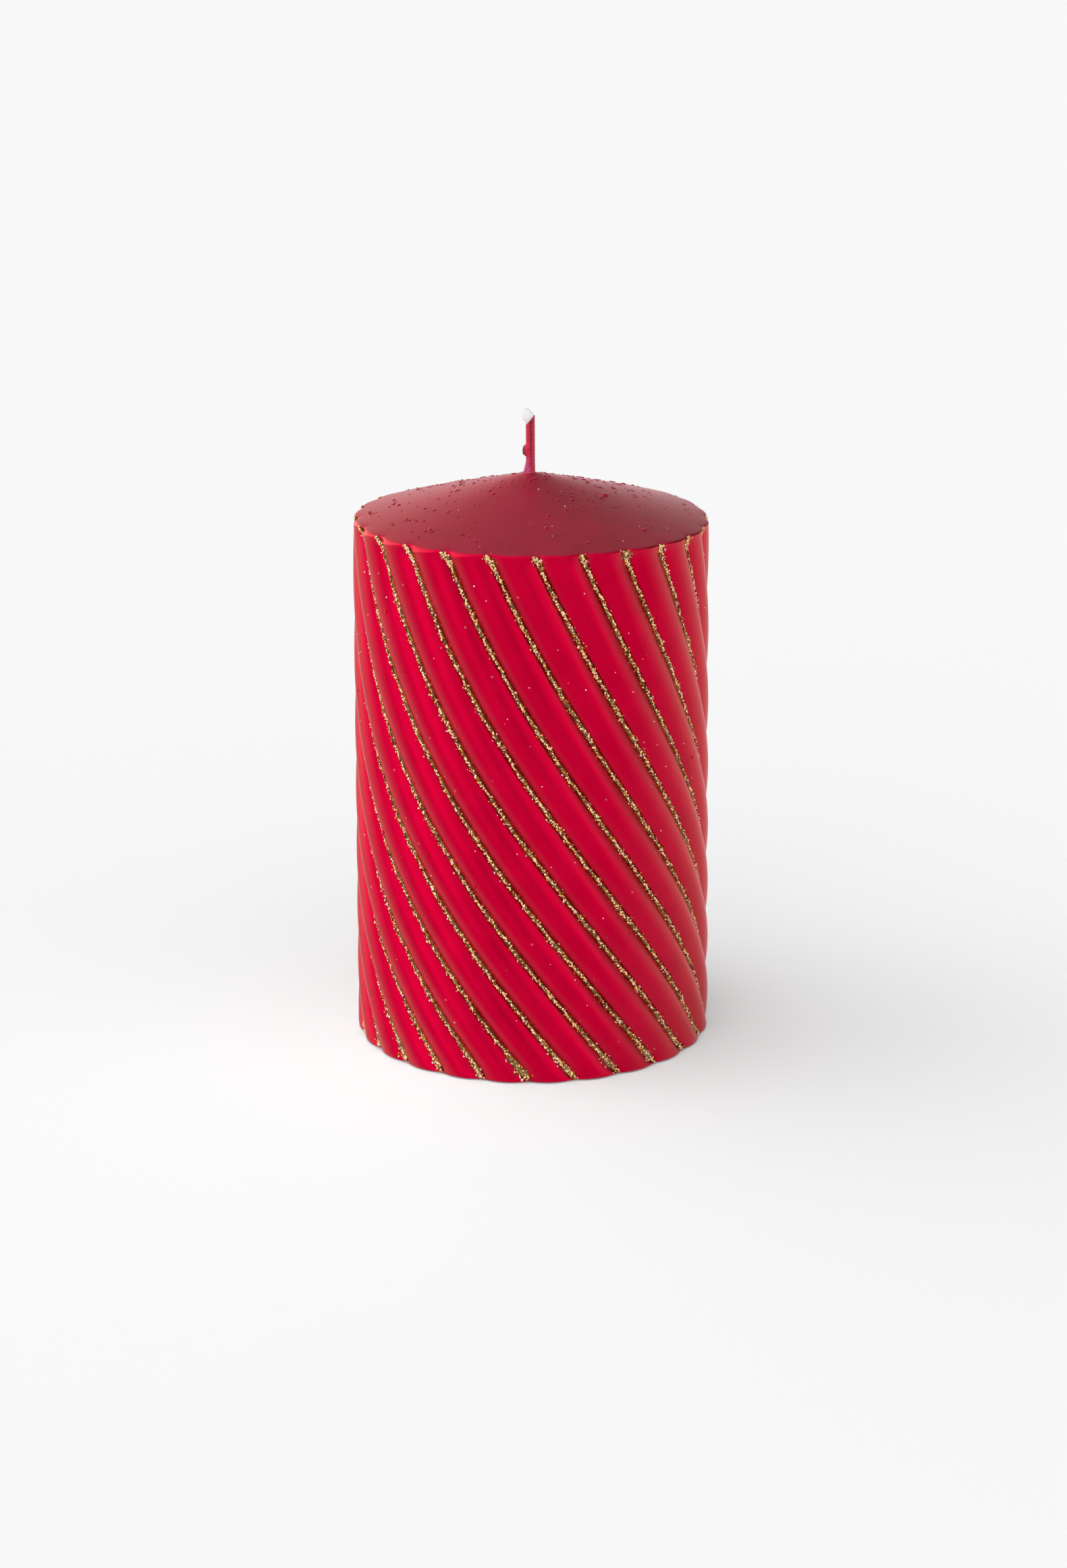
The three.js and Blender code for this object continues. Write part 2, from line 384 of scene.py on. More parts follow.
def new_material(name, **values):
    """A material with one shader, whose plain values are set on its own sockets."""
    material = bpy.data.materials.new(name)
    material.use_nodes = True
    tree = material.node_tree
    shader = tree.nodes["Principled BSDF"]
    feed(tree, shader, **values)
    return material, tree, shader


def math_node(tree, operation, first, second=0.0):
    return add_node(tree, "ShaderNodeMath", {0: first, 1: second}, operation=operation).outputs[0]


def product(tree, first, *others):
    for other in others:
        first = math_node(tree, "MULTIPLY", first, other)
    return first


def mix_colours(tree, share, *colours):
    """Mixes two colours, each an output or three numbers, by a share between 0 and 1."""
    first, second = [(*one, 1) if isinstance(one, tuple) else one for one in colours]
    return add_node(tree, "ShaderNodeMix", {0: share, 6: first, 7: second}, data_type="RGBA").outputs[2]


def spread(tree, value, low, high, new_low=0.0, new_high=1.0):
    """Maps a value from one range to another, without running past its ends."""
    ranges = {0: value, 1: low, 2: high, 3: new_low, 4: new_high}
    return add_node(tree, "ShaderNodeMapRange", ranges).outputs[0]


def between(tree, share, low, high):
    """Runs from one number to another by a share between 0 and 1."""
    return spread(tree, share, 0, 1, low, high)


def object_place(tree):
    return tree.nodes.new("ShaderNodeTexCoord").outputs["Object"]


def noise(tree, place, scale, detail, roughness):
    values = {"Vector": place, "Scale": scale, "Detail": detail, "Roughness": roughness}
    return add_node(tree, "ShaderNodeTexNoise", values).outputs["Fac"]


def cells(tree, place, scale):
    """Scattered cells: the distance from each one's middle, and three chance numbers for each."""
    values = {"Vector": place, "Scale": scale, "Randomness": 1.0}
    scattered = add_node(tree, "ShaderNodeTexVoronoi", values)
    chances = add_node(tree, "ShaderNodeSeparateColor", {0: scattered.outputs["Color"]})
    return scattered.outputs["Distance"], chances.outputs


def surface_bump(tree, shader, height, depth):
    bump = add_node(tree, "ShaderNodeBump", {"Strength": 1.0, "Distance": depth, "Height": height})
    feed(tree, shader, Normal=bump.outputs[0])


# Shared effects

def new_group(name, inputs, outputs):
    """A node group that takes a place and numbers, and puts out numbers."""
    group = bpy.data.node_groups.new(name, "ShaderNodeTree")
    group.interface.new_socket("Place", in_out="INPUT", socket_type="NodeSocketVector")
    for socket, value in inputs.items():
        made = group.interface.new_socket(socket, in_out="INPUT", socket_type="NodeSocketFloat")
        made.default_value = value
    for socket in outputs:
        group.interface.new_socket(socket, in_out="OUTPUT", socket_type="NodeSocketFloat")
    given = group.nodes.new("NodeGroupInput").outputs
    return group, given, group.nodes.new("NodeGroupOutput")


def make_grain_group():
    """Fine grain on a broad, soft mottle, in sizes given per metre."""
    inputs = {"Fine Scale": 3000.0, "Broad Scale": 120.0, "Broad Share": 0.5}
    group, given, out = new_group("grain", inputs, ["Height", "Mottle"])
    fine = noise(group, given["Place"], given["Fine Scale"], 3.0, 0.6)
    broad = noise(group, given["Place"], given["Broad Scale"], 2.0, 0.5)
    height = math_node(group, "ADD", fine, product(group, broad, given["Broad Share"]))
    feed(group, out, Height=height, Mottle=spread(group, broad, 0.3, 0.7))
    return group


def make_speck_group():
    """Small round specks, thinly strewn: a mask that is 1 on a speck."""
    inputs = {"Scale": 600.0, "Size": 0.16, "Rarity": 0.9}
    group, given, out = new_group("specks", inputs, ["Mask"])
    distance, chances = cells(group, given["Place"], given["Scale"])
    near = math_node(group, "LESS_THAN", distance, given["Size"])
    chosen = math_node(group, "GREATER_THAN", chances[0], given["Rarity"])
    feed(group, out, Mask=product(group, near, chosen))
    return group


grain_group = make_grain_group()
speck_group = make_speck_group()


def grain(tree, place, fine, broad, share):
    """The height and the mottle of a finish's grain."""
    node = add_node(tree, "ShaderNodeGroup", node_tree=grain_group)
    feed(tree, node, Place=place, Fine_Scale=fine, Broad_Scale=broad, Broad_Share=share)
    return node.outputs["Height"], node.outputs["Mottle"]


def specks(tree, place, scale, size, rarity):
    node = add_node(tree, "ShaderNodeGroup", node_tree=speck_group)
    feed(tree, node, Place=place, Scale=scale, Size=size, Rarity=rarity)
    return node.outputs["Mask"]


# Finishes

# Red lacquer as light that has bounced off the floor meets it, so that the floor stays pale
BOUNCE_TONE = (0.78, 0.69, 0.71)

# Where the dip on the wick changes its colour: the pool at its foot, the set drop, and the furrow, which gets
# painted shade
POOL_TOP = CONE_HEIGHT + 4 * MM
POOL_FULL = CONE_HEIGHT + 0.5 * MM
POOL_RIGHT = 0.1 * MM
POOL_LEFT = -0.3 * MM
DROP_START = -0.95 * MM
DROP_FULL = -1.3 * MM
FURROW_MIDDLE = 0.12 * MM
FURROW_EDGE = 0.24 * MM
FURROW_FULL = 0.04 * MM
FRONT_START = -0.2 * MM
FRONT_FULL = -0.5 * MM
FURROW_SHADE = 0.85

# Tones of the foil flakes: dark ones, a painted reflection of dark corners; dull gold ones; bright ones, pale
# gold lit up as painted glints; and silver ones, tinted pink as a painted reflection of the red ribs
DARK_REFLECTION_TONES = (0, 0.08)
DARK_REFLECTION_SHARE = 0.46
DULL_TONES = (0.3, 0.6)
DULL_SHARE = 0.35
GLINT_TONES = (0.8, 1.0)
GLINT_FROM = 0.75
SILVER_TONE = 1.5


def lacquer_finish(name, reds, satin, coat, sheen):
    """Deep red metallic candle lacquer, satin, with a clear top layer that shows at low angles."""
    material, tree, shader = new_material(
        name,
        Metallic=1.0,
        Specular_Tint=(1.0, 0.1, 0.2, 1),
        Sheen_Weight=sheen,
        Sheen_Roughness=0.35,
        Coat_IOR=1.35,
        Coat_Roughness=0.3,
    )
    place = object_place(tree)
    height, mottle = grain(tree, place, 5200.0, 160.0, 0.6)
    red = mix_colours(tree, mottle, *reds)
    speckled = mix_colours(tree, specks(tree, place, 420.0, 0.1, 0.86), red, (0.62, 0.09, 0.12))
    bounced = tree.nodes.new("ShaderNodeLightPath").outputs["Is Diffuse Ray"]
    turned_away = add_node(tree, "ShaderNodeLayerWeight", {"Blend": 0.5}).outputs["Facing"]
    feed(
        tree,
        shader,
        Base_Color=mix_colours(tree, bounced, speckled, BOUNCE_TONE),
        Roughness=between(tree, mottle, *satin),
        Coat_Weight=spread(tree, turned_away, 0.14, 0.42, 0.0, coat),
    )
    surface_bump(tree, shader, height, 0.012 * MM)
    return material


def wax_finish():
    """Pale cast wax: waxy satin with a soft mottle and a few bubbles."""
    material, tree, shader = new_material(
        "pale_wax",
        Subsurface_Weight=0.35,
        Subsurface_Radius=(2.4 * MM, 1.6 * MM, 1.1 * MM),
        Subsurface_Scale=1.0,
    )
    place = object_place(tree)
    height, mottle = grain(tree, place, 1500.0, 90.0, 1.0)
    pale = mix_colours(tree, mottle, (0.78, 0.66, 0.54), (0.86, 0.76, 0.65))
    bubbled = mix_colours(tree, specks(tree, place, 380.0, 0.2, 0.8), pale, (0.6, 0.48, 0.36))
    feed(tree, shader, Base_Color=bubbled, Roughness=between(tree, mottle, 0.45, 0.6))
    surface_bump(tree, shader, height, 0.05 * MM)
    return material


def cotton_finish():
    """Bare braided cotton: matt, with fine fibres across the strands."""
    material, tree, shader = new_material(
        "bare_cotton", Roughness=0.95, Sheen_Weight=0.4, Sheen_Roughness=0.6
    )
    fibres = noise(tree, object_place(tree), 6500.0, 4.0, 0.7)
    shade = spread(tree, fibres, 0.3, 0.7)
    feed(tree, shader, Base_Color=mix_colours(tree, shade, (0.72, 0.68, 0.69), (0.93, 0.92, 0.92)))
    surface_bump(tree, shader, fibres, 0.05 * MM)
    return material


def dip_finish():
    """Thin red wax dip on the wick: deep red above, bluish pink where it has pooled at the foot, dark on the
    set drop, and with painted shade down the furrow in its front.
    """
    material, tree, shader = new_material(
        "red_dip", Metallic=0.35, Sheen_Weight=0.25, Sheen_Roughness=0.4
    )
    place = object_place(tree)
    height, mottle = grain(tree, place, 4200.0, 700.0, 0.8)
    x, y, z = add_node(tree, "ShaderNodeSeparateXYZ", {0: place}).outputs
    low = spread(tree, z, POOL_TOP, POOL_FULL)
    above_pool = math_node(tree, "SUBTRACT", 1.0, low)
    ragged = product(tree, low, between(tree, mottle, 0.5, 1.0))
    red = mix_colours(tree, mottle, (0.42, 0.005, 0.03), (0.62, 0.012, 0.06))
    pooled = mix_colours(tree, spread(tree, x, POOL_RIGHT, POOL_LEFT), (0.42, 0.02, 0.07), (0.44, 0.06, 0.2))
    dipped = mix_colours(tree, ragged, red, pooled)
    drop = product(tree, spread(tree, x, DROP_START, DROP_FULL), above_pool)
    dipped = mix_colours(tree, drop, dipped, (0.1, 0.012, 0.014))
    # Painted shade down the furrow in the front of the dip, above the pool
    off_middle = math_node(tree, "ABSOLUTE", math_node(tree, "SUBTRACT", x, FURROW_MIDDLE))
    furrow = spread(tree, off_middle, FURROW_EDGE, FURROW_FULL)
    front = spread(tree, y, FRONT_START, FRONT_FULL, 0.0, FURROW_SHADE)
    dipped = mix_colours(tree, product(tree, furrow, front, above_pool), dipped, (0.13, 0.002, 0.008))
    feed(tree, shader, Base_Color=dipped, Roughness=between(tree, mottle, 0.32, 0.5))
    surface_bump(tree, shader, height, 0.03 * MM)
    return material


def tin_finish():
    """Stamped tinned sheet: bright, with drawing marks and dull patches."""
    material, tree, shader = new_material("stamped_tin", Metallic=1.0)
    height, mottle = grain(tree, object_place(tree), 2600.0, 420.0, 0.7)
    bright = mix_colours(tree, mottle, (0.5, 0.5, 0.52), (0.68, 0.68, 0.69))
    feed(tree, shader, Base_Color=bright, Roughness=between(tree, mottle, 0.26, 0.42))
    surface_bump(tree, shader, height, 0.01 * MM)
    return material


def glue_finish():
    """Dried glitter glue under the flakes: amber brown and full of fine gold dust, kept dark in part as
    painted shade in the gaps between the flakes.
    """
    material, tree, shader = new_material("glitter_glue", Coat_Weight=0.6, Coat_Roughness=0.15)
    chances = cells(tree, object_place(tree), 5200.0)[1]
    dust = spread(tree, chances[0], 0.45, 1.0)
    feed(
        tree,
        shader,
        Base_Color=mix_colours(tree, dust, (0.1, 0.036, 0.005), (0.5, 0.24, 0.04)),
        Metallic=spread(tree, chances[0], 0.3, 0.6),
        Roughness=between(tree, chances[1], 0.2, 0.5),
    )
    surface_bump(tree, shader, chances[2], 0.05 * MM)
    return material


def flake_finish():
    """Gold foil flakes: each one's tone runs from a painted reflection of a dark corner through gold to
    painted glints, and to silver tinted pink as a painted reflection of the red ribs.
    """
    material, tree, shader = new_material("gold_flakes", Metallic=1.0, Specular_Tint=(1.0, 0.5, 0.2, 1))
    tone = add_node(tree, "ShaderNodeAttribute", attribute_name="tone").outputs["Fac"]
    gold = mix_colours(tree, spread(tree, tone, 0, 0.5), (0.13, 0.028, 0.003), (1.0, 0.48, 0.08))
    bright = mix_colours(tree, spread(tree, tone, 0.5, 1), gold, (1.0, 0.89, 0.54))
    silver = mix_colours(tree, spread(tree, tone, 1, SILVER_TONE), bright, (1.0, 0.78, 0.78))
    feed(tree, shader, Base_Color=silver, Roughness=between(tree, tone, 0.3, 0.06))
    return material


side_reds = (0.52, 0.0006, 0.029), (0.58, 0.0009, 0.034)
cone_reds = (0.47, 0.001, 0.05), (0.51, 0.0014, 0.055)
# The crumbs on the cone get darker reds than the cone itself: painted shade on the crumbs
shaded_crumb_reds = (0.26, 0.001, 0.03), (0.42, 0.001, 0.044)
lacquer = lacquer_finish("red_lacquer", side_reds, (0.36, 0.42), 0.8, 0.0)
cone_lacquer = lacquer_finish("red_lacquer_cone", cone_reds, (0.42, 0.48), 0.43, 0.26)
shaded_crumb_lacquer = lacquer_finish("red_lacquer_crumbs", shaded_crumb_reds, (0.44, 0.52), 0.9, 0.35)
wax = wax_finish()
cotton = cotton_finish()
dip = dip_finish()
tin = tin_finish()
glue = glue_finish()
flakes = flake_finish()


# Ribbed shells: one rib is modelled, then copied round the candle

COAT_COLUMNS = 14
COAT_SIDE_STEPS = 78
CORE_COLUMNS = 8
CORE_SIDE_STEPS = 34
FOOT_STEPS = 4
RIM_ROWS = [1.8 * MM, 1.45 * MM, 1.15 * MM, 0.9 * MM, 0.675 * MM, 0.45 * MM, 0.225 * MM, 0.0]
RIM_BAND = 2.2 * MM
SHELL_SMOOTH_ANGLE = 34

# The chamfer under the rim: on the left its width changes from groove to groove
CHAMFER_ROW = 0.9 * MM
CHAMFER = 0.25 * MM
CHAMFER_PLACES = [0, 0.12, 0.35, 0.65, 0.9, 1]
CHAMFER_WIDTHS = [0.32 * MM, 0.95 * MM, 0.8 * MM, 0.5 * MM, 0.28 * MM, 0.32 * MM]
CHAMFER_GROWS_FROM = 4 * MM
CHAMFER_GROWTH = 12 * MM


def rib_arc(name, height, offset, columns):
    """The section of one rib at a height, as a row of edges spun from groove to groove."""
    ridge = ridge_at(height)
    centre = arc_centre(ridge)
    groove = ridge - RIB_DEPTH
    start = groove_angle(height)
    middle = polar(start + HALF_PITCH, centre, height)
    across = math.atan2(groove * math.sin(HALF_PITCH), groove * math.cos(HALF_PITCH) - centre)
    made = new_edit(
        name, bpy.ops.mesh.primitive_plane_add, size=0.1 * MM, location=polar(start, groove, height)
    )
    bpy.ops.mesh.merge(type="CENTER")
    bpy.ops.mesh.spin(steps=columns, angle=-2 * across, center=middle, axis=(0, 0, 1))
    select_whole()
    draw_in((ridge - offset) / ridge)
    return made


def rim_chamfer(across, x):
    """Width of the chamfer under the rim: on the left it is broad just right of each groove and thins out."""
    left = np.clip((-x - CHAMFER_GROWS_FROM) / CHAMFER_GROWTH, 0, 1)
    broad = np.interp(across, CHAMFER_PLACES, CHAMFER_WIDTHS)
    return CHAMFER + (broad - CHAMFER) * left


def shape_edges(shell, rim, offset):
    """Fills the grooves towards the foot and the rim, and cuts the chamfer under the rim."""
    bpy.ops.object.mode_set(mode="OBJECT")
    points = mesh_points(shell)
    height = points[:, 2]
    angle = np.arctan2(points[:, 0], -points[:, 1])
    across = (angle - groove_angle(height)) / RIB_PITCH % 1
    wall = wall_radius(height, offset)
    drop = np.maximum(wall - np.hypot(points[:, 0], points[:, 1]), 0)
    chamfer = rim_chamfer(across, points[:, 0])
    below = rim - height
    moved = np.where(
        below < CHAMFER_ROW,
        below * chamfer / CHAMFER_ROW,
        chamfer + (below - CHAMFER_ROW) * (RIM_BAND - chamfer) / (RIM_BAND - CHAMFER_ROW),
    )
    moved = np.where(below < RIM_BAND, moved, below)
    inset = chamfer * np.clip(1 - moved / chamfer, 0, 1) ** 1.2
    turned = angle + turn_at(rim - moved) - turn_at(height)
    radius = wall - drop * rib_share(rim - moved + offset) - inset
    move_points(shell, polar(turned, radius, rim - moved))
    bpy.ops.object.mode_set(mode="EDIT")


def ribbed_shell(name, foot, offset, columns, side_steps):
    """Twenty-four twisted ribs drawn in by an offset, from the foot to the rim, open at both ends."""
    rim = RIM_HEIGHT - offset
    made = rib_arc(name, foot, offset, columns)
    draw_in(wall_radius(foot, offset) / (ridge_at(foot) - offset))
    low = [foot + (FOOT_EASE_UP - foot) * (step / FOOT_STEPS) ** 1.6 for step in range(FOOT_STEPS + 1)]
    side = np.linspace(FOOT_EASE_UP, rim - RIM_BAND, side_steps + 1)[1:]
    climb([*low, *side, *(rim - below for below in RIM_ROWS)], wall_radius, offset)
    select_whole()
    around = FULL_TURN * (RIB_COUNT - 1) / RIB_COUNT
    bpy.ops.mesh.spin(steps=RIB_COUNT - 1, dupli=True, angle=around, center=(0, 0, 0), axis=(0, 0, 1))
    select_whole()
    bpy.ops.mesh.remove_doubles(threshold=0.004 * MM)
    shape_edges(made, rim, offset)
    return made, rim


def cone_over(rim, offset, run_out_steps, cone_steps):
    """Extrudes the rim's ring over the cone, evens it out to a circle and leads it to the wick's hole."""
    select_points(lambda co: co.z > rim - 0.02 * MM)
    edge = RIM_EDGE - offset
    mean_drop = ridge_at(rim) - offset - RIM_EASE_IN - ring_radius()
    left = 1.0
    height = rim
    for step in range(1, run_out_steps + 1):
        along = step / run_out_steps
        inward = RIB_RUN_OUT * along**1.2
        share = (1 - along) ** 2
        above = rim + CONE_SLOPE * inward
        extrude_up(above - height)
        draw_in((edge - inward - share * mean_drop) / ring_radius())
        bpy.ops.transform.tosphere(value=1 - share / left)
        left = share if share > 0 else 1.0
        height = above
    start = edge - RIB_RUN_OUT
    stops = [start + (WICK_HOLE - start) * (step / cone_steps) ** 0.9 for step in range(1, cone_steps + 1)]
    profile([(radius, rim + CONE_SLOPE * (edge - radius)) for radius in stops])


def lacquer_coat():
    coat, rim = ribbed_shell("lacquer_coat_shell", COAT_LIFT, 0.0, COAT_COLUMNS, COAT_SIDE_STEPS)
    cone_over(rim, 0.0, 6, 26)
    thicken(coat, COAT_THICKNESS)
    finish_piece(coat, SHELL_SMOOTH_ANGLE)
    flatten_foot(coat, COAT_LIFT)
    dress(coat, "red_lacquer", ["lacquer_coat"], lacquer, cone_lacquer)
    split_lacquer(coat)
    lift_rim(coat)


SUSTAINER_RADIUS = 7 * MM
SUSTAINER_SHEET = 0.35 * MM
SUSTAINER_DISH = 0.3 * MM
SUSTAINER_LIFT = 0.3 * MM
NECK_HEIGHT = 3.2 * MM
NECK_INNER = WICK_RADIUS + 0.1 * MM
DISH_TOP = SUSTAINER_LIFT + SUSTAINER_DISH
NECK_TOP = DISH_TOP + SUSTAINER_SHEET + NECK_HEIGHT

# The trimmed foot of the wax, with the recess for the sustainer
TRIMMED_EDGE = 1.2 * MM
TRIMMED_RING = 6 * MM
RECESS_CHAMFER = 0.25 * MM


def wax_core():
    """The pale wax inside the coat, with its trimmed foot, the sustainer's recess and the wick's bore."""
    core, rim = ribbed_shell("wax_core", 0.0, CORE_OFFSET, CORE_COLUMNS, CORE_SIDE_STEPS)
    cone_over(rim, CORE_OFFSET, 3, 8)
    select_points(lambda co: co.z < 0.02 * MM)
    recess = SUSTAINER_RADIUS + SEAT_GAP
    roof = DISH_TOP + SUSTAINER_SHEET + SEAT_GAP
    neck_bore = NECK_INNER + SUSTAINER_SHEET + SEAT_GAP
    neck_roof = NECK_TOP + SEAT_GAP
    profile([(ring_radius() - TRIMMED_EDGE, 0.0), (recess + TRIMMED_RING, 0.0)])
    bpy.ops.transform.tosphere(value=1)
    recess_foot = [(recess + RECESS_CHAMFER, 0.0), (recess, 0.2 * MM)]
    profile([*recess_foot, (recess, roof - 0.15 * MM), (recess - 0.3 * MM, roof)])
    profile([(neck_bore, roof), (neck_bore, neck_roof), (WICK_HOLE, neck_roof)])
    profile([(WICK_HOLE, rim + CONE_SLOPE * (RIM_EDGE - CORE_OFFSET - WICK_HOLE))])
    finish_piece(core, SHELL_SMOOTH_ANGLE)
    lift_rim(core)
    dress(core, "wax", ["wax_body"], wax)


lacquer_coat()
wax_core()


# The tin sustainer: a dished disc with a stamped ring and a neck pinched round the wick

STAMP_DEPTH = 0.18 * MM
NECK_FOOT = DISH_TOP + 0.2 * MM
NECK_OUTER = NECK_INNER + SUSTAINER_SHEET
NECK_PINCH = 0.05 * MM
SUSTAINER_SIDES = 72


def wick_sustainer():
    under = [
        (NECK_INNER + 0.4 * MM, DISH_TOP - 0.05 * MM),
        (2.6 * MM, DISH_TOP),
        (3.2 * MM, DISH_TOP),
        (3.5 * MM, DISH_TOP - STAMP_DEPTH),
        (4.1 * MM, DISH_TOP - STAMP_DEPTH),
        (4.4 * MM, DISH_TOP - 0.02 * MM),
        (6.4 * MM, SUSTAINER_LIFT + 0.08 * MM),
        (SUSTAINER_RADIUS - 0.08 * MM, SUSTAINER_LIFT),
        (SUSTAINER_RADIUS, SUSTAINER_LIFT + 0.1 * MM),
    ]
    over = [(radius, height + SUSTAINER_SHEET) for radius, height in under[:-1]]
    over[0] = (NECK_OUTER, NECK_FOOT + SUSTAINER_SHEET)
    neck_middle = NECK_TOP - 0.5 * NECK_HEIGHT
    neck = [
        (NECK_OUTER, neck_middle),
        (NECK_OUTER - NECK_PINCH, neck_middle + 0.7 * MM),
        (NECK_OUTER, NECK_TOP),
        (NECK_INNER, NECK_TOP),
        (NECK_INNER, NECK_FOOT),
    ]
    disc = new_edit(
        "tin_sustainer",
        bpy.ops.mesh.primitive_circle_add,
        vertices=SUSTAINER_SIDES,
        radius=NECK_INNER,
        location=(0, 0, NECK_FOOT),
    )
    profile([*under, *over[::-1], *neck])
    finish_piece(disc, 30)
    dress(disc, "tin", ["wick_sustainer"], tin)


wick_sustainer()


# The wick: three plaited strands with a bare tip, and the red dip round its lower length

WICK_SHOWING = 12.1 * MM
WICK_TIP = CONE_HEIGHT + WICK_SHOWING
HOOK_RADIUS = 1.5 * MM
HOOK_TURN = math.radians(56)
HOOK_TAIL = 0.45 * MM
HOOK_START = WICK_TIP - 2.35 * MM
STRAIGHT_LENGTH = HOOK_START - SUSTAINER_LIFT
WICK_LENGTH = STRAIGHT_LENGTH + HOOK_TURN * HOOK_RADIUS + HOOK_TAIL
HIDDEN_LENGTH = CONE_HEIGHT - SUSTAINER_LIFT - 2 * MM
HIDDEN_STEP = 0.36 * MM
SHOWN_STEP = 0.13 * MM
STRAND_COUNT = 3
STRAND_SIDES = 10
STRAND_RADIUS = 0.33 * MM
PLAIT_PITCH = 2.3 * MM
PLAIT_WIDTH = 0.34 * MM
PLAIT_DEPTH = 0.24 * MM
FRAY = 0.15
FRAY_LENGTH = 1.6 * MM


def wick_line(along):
    """A point of the wick's middle line and its lean towards -X, by the length from the sustainer."""
    lean = min(max((along - STRAIGHT_LENGTH) / HOOK_RADIUS, 0), HOOK_TURN)
    tail = max(along - STRAIGHT_LENGTH - HOOK_TURN * HOOK_RADIUS, 0)
    x = -HOOK_RADIUS * (1 - math.cos(lean)) - tail * math.sin(lean)
    rise = min(along, STRAIGHT_LENGTH) + HOOK_RADIUS * math.sin(lean) + tail * math.cos(lean)
    return Vector((x, 0, SUSTAINER_LIFT + rise)), lean


def tube(name, points, radii, sides):
    """A closed tube along points: a poly curve with a round section, made a mesh."""
    curve = bpy.data.curves.new(name, "CURVE")
    curve.dimensions = "3D"
    curve.bevel_depth = 1.0
    curve.bevel_resolution = max(sides // 2 - 2, 0)
    curve.use_fill_caps = True
    line = curve.splines.new("POLY")
    line.points.add(len(points) - 1)
    for point, place, radius in zip(line.points, points, radii):
        point.co = (*place, 1)
        point.radius = radius
    made = new_object(name, curve)
    choose([made])
    bpy.ops.object.convert(target="MESH")
    return made


def plaited_strand(number):
    """One strand that weaves from side to side and from front to back, and frays at the tip."""
    shown = np.arange(HIDDEN_LENGTH, WICK_LENGTH, SHOWN_STEP)
    points, radii = [], []
    for along in [*np.arange(0, HIDDEN_LENGTH, HIDDEN_STEP), *shown, WICK_LENGTH]:
        middle, lean = wick_line(along)
        phase = FULL_TURN * (along / PLAIT_PITCH + number / STRAND_COUNT)
        fray = 1 + FRAY * min(1, max(0, (along - WICK_LENGTH) / FRAY_LENGTH + 1))
        across = PLAIT_WIDTH * math.sin(phase) * fray
        depth = PLAIT_DEPTH * math.sin(2 * phase) * fray
        points.append(middle + Vector((across * math.cos(lean), depth, across * math.sin(lean))))
        radii.append(STRAND_RADIUS * fray)
    return tube(f"strand_{number}", points, radii, STRAND_SIDES)


# The tuft at the bare tip, in millimetres: depth below the tip, middle and half width
TUFT = [
    (0.0, -0.72, 0.3),
    (0.2, -0.72, 0.62),
    (0.6, -0.66, 0.92),
    (1.0, -0.55, 1.14),
    (1.5, -0.45, 1.24),
    (2.0, -0.35, 1.12),
    (2.5, -0.22, 0.86),
    (2.9, -0.1, 0.66),
    (3.4, 0.0, 0.55),
]
TUFT_SIDES = 28
TUFT_FLATNESS = 0.64
TUFT_LOOSE = 2.4 * MM
TUFT_ROUGHNESS = 0.07 * MM

FIBRE_COUNT = 110
FIBRE_SIDES = 6
FIBRE_RADII = [0.08 * MM, 0.075 * MM, 0.04 * MM]
FIBRE_DEEPEST = 1.5 * MM
FIBRE_SHORTEST = 0.1
FIBRE_LONGEST = 0.3


def tuft_section(below):
    """Middle and half width of the tuft at a depth below the tip."""
    depths, middles, halves = np.array(TUFT).T * MM
    return np.interp(below, depths, middles), np.interp(below, depths, halves)


def cotton_tuft():
    """The bare tip: a soft tuft that leans to the left out of the dip, closed at both ends."""
    depths = [row[0] * MM for row in TUFT[::-1]]
    middle, half = tuft_section(depths[0])
    tuft = new_edit(
        "cotton_tuft",
        bpy.ops.mesh.primitive_circle_add,
        vertices=TUFT_SIDES,
        radius=half,
        fill_type="NGON",
        location=(middle, 0, WICK_TIP - depths[0]),
    )
    select_whole()
    for low, high in zip(depths[:-1], depths[1:]):
        for share in (0.5, 1.0):
            before, old_half = middle, half
            middle, half = tuft_section(low + (high - low) * share)
            extrude_up((low - high) * 0.5)
            bpy.ops.transform.translate(value=(middle - before, 0, 0))
            draw_in(half / old_half, (middle, 0, 0))
    select_whole()
    stretch(1, TUFT_FLATNESS, 1)
    select_points(lambda co: co.z > WICK_TIP - TUFT_LOOSE)
    bpy.ops.transform.vertex_random(offset=TUFT_ROUGHNESS, seed=3)
    bpy.ops.object.mode_set(mode="OBJECT")
    return tuft


def loose_fibre(number, chance):
    """One short fibre that stands out of the tuft."""
    below = FIBRE_DEEPEST * chance.random()
    around = FULL_TURN * chance.random()
    middle, half = tuft_section(below)
    away = Vector((math.cos(around), 0.6 * math.sin(around), 0))
    root = Vector((middle, 0, WICK_TIP - below)) + away * half * 0.9
    ahead = (away * below / MM * 0.5 + Vector((-0.2, 0, 1))).normalized()
    reach = ahead * chance.uniform(FIBRE_SHORTEST, FIBRE_LONGEST) * MM
    bend = away * chance.uniform(-0.04, 0.08) * MM
    line = [root, root + reach * 0.55 + bend, root + reach]
    return tube(f"fibre_{number}", line, FIBRE_RADII, FIBRE_SIDES)


def plaited_wick():
    strands = [plaited_strand(number) for number in range(STRAND_COUNT)]
    chance = np.random.default_rng(7)
    fibres = [loose_fibre(number, chance) for number in range(FIBRE_COUNT)]
    wick = join_pieces([*strands, *fibres, cotton_tuft()], "plaited_wick")
    finish_piece(wick, 60)
    dress(wick, "cotton", ["wick"], cotton)


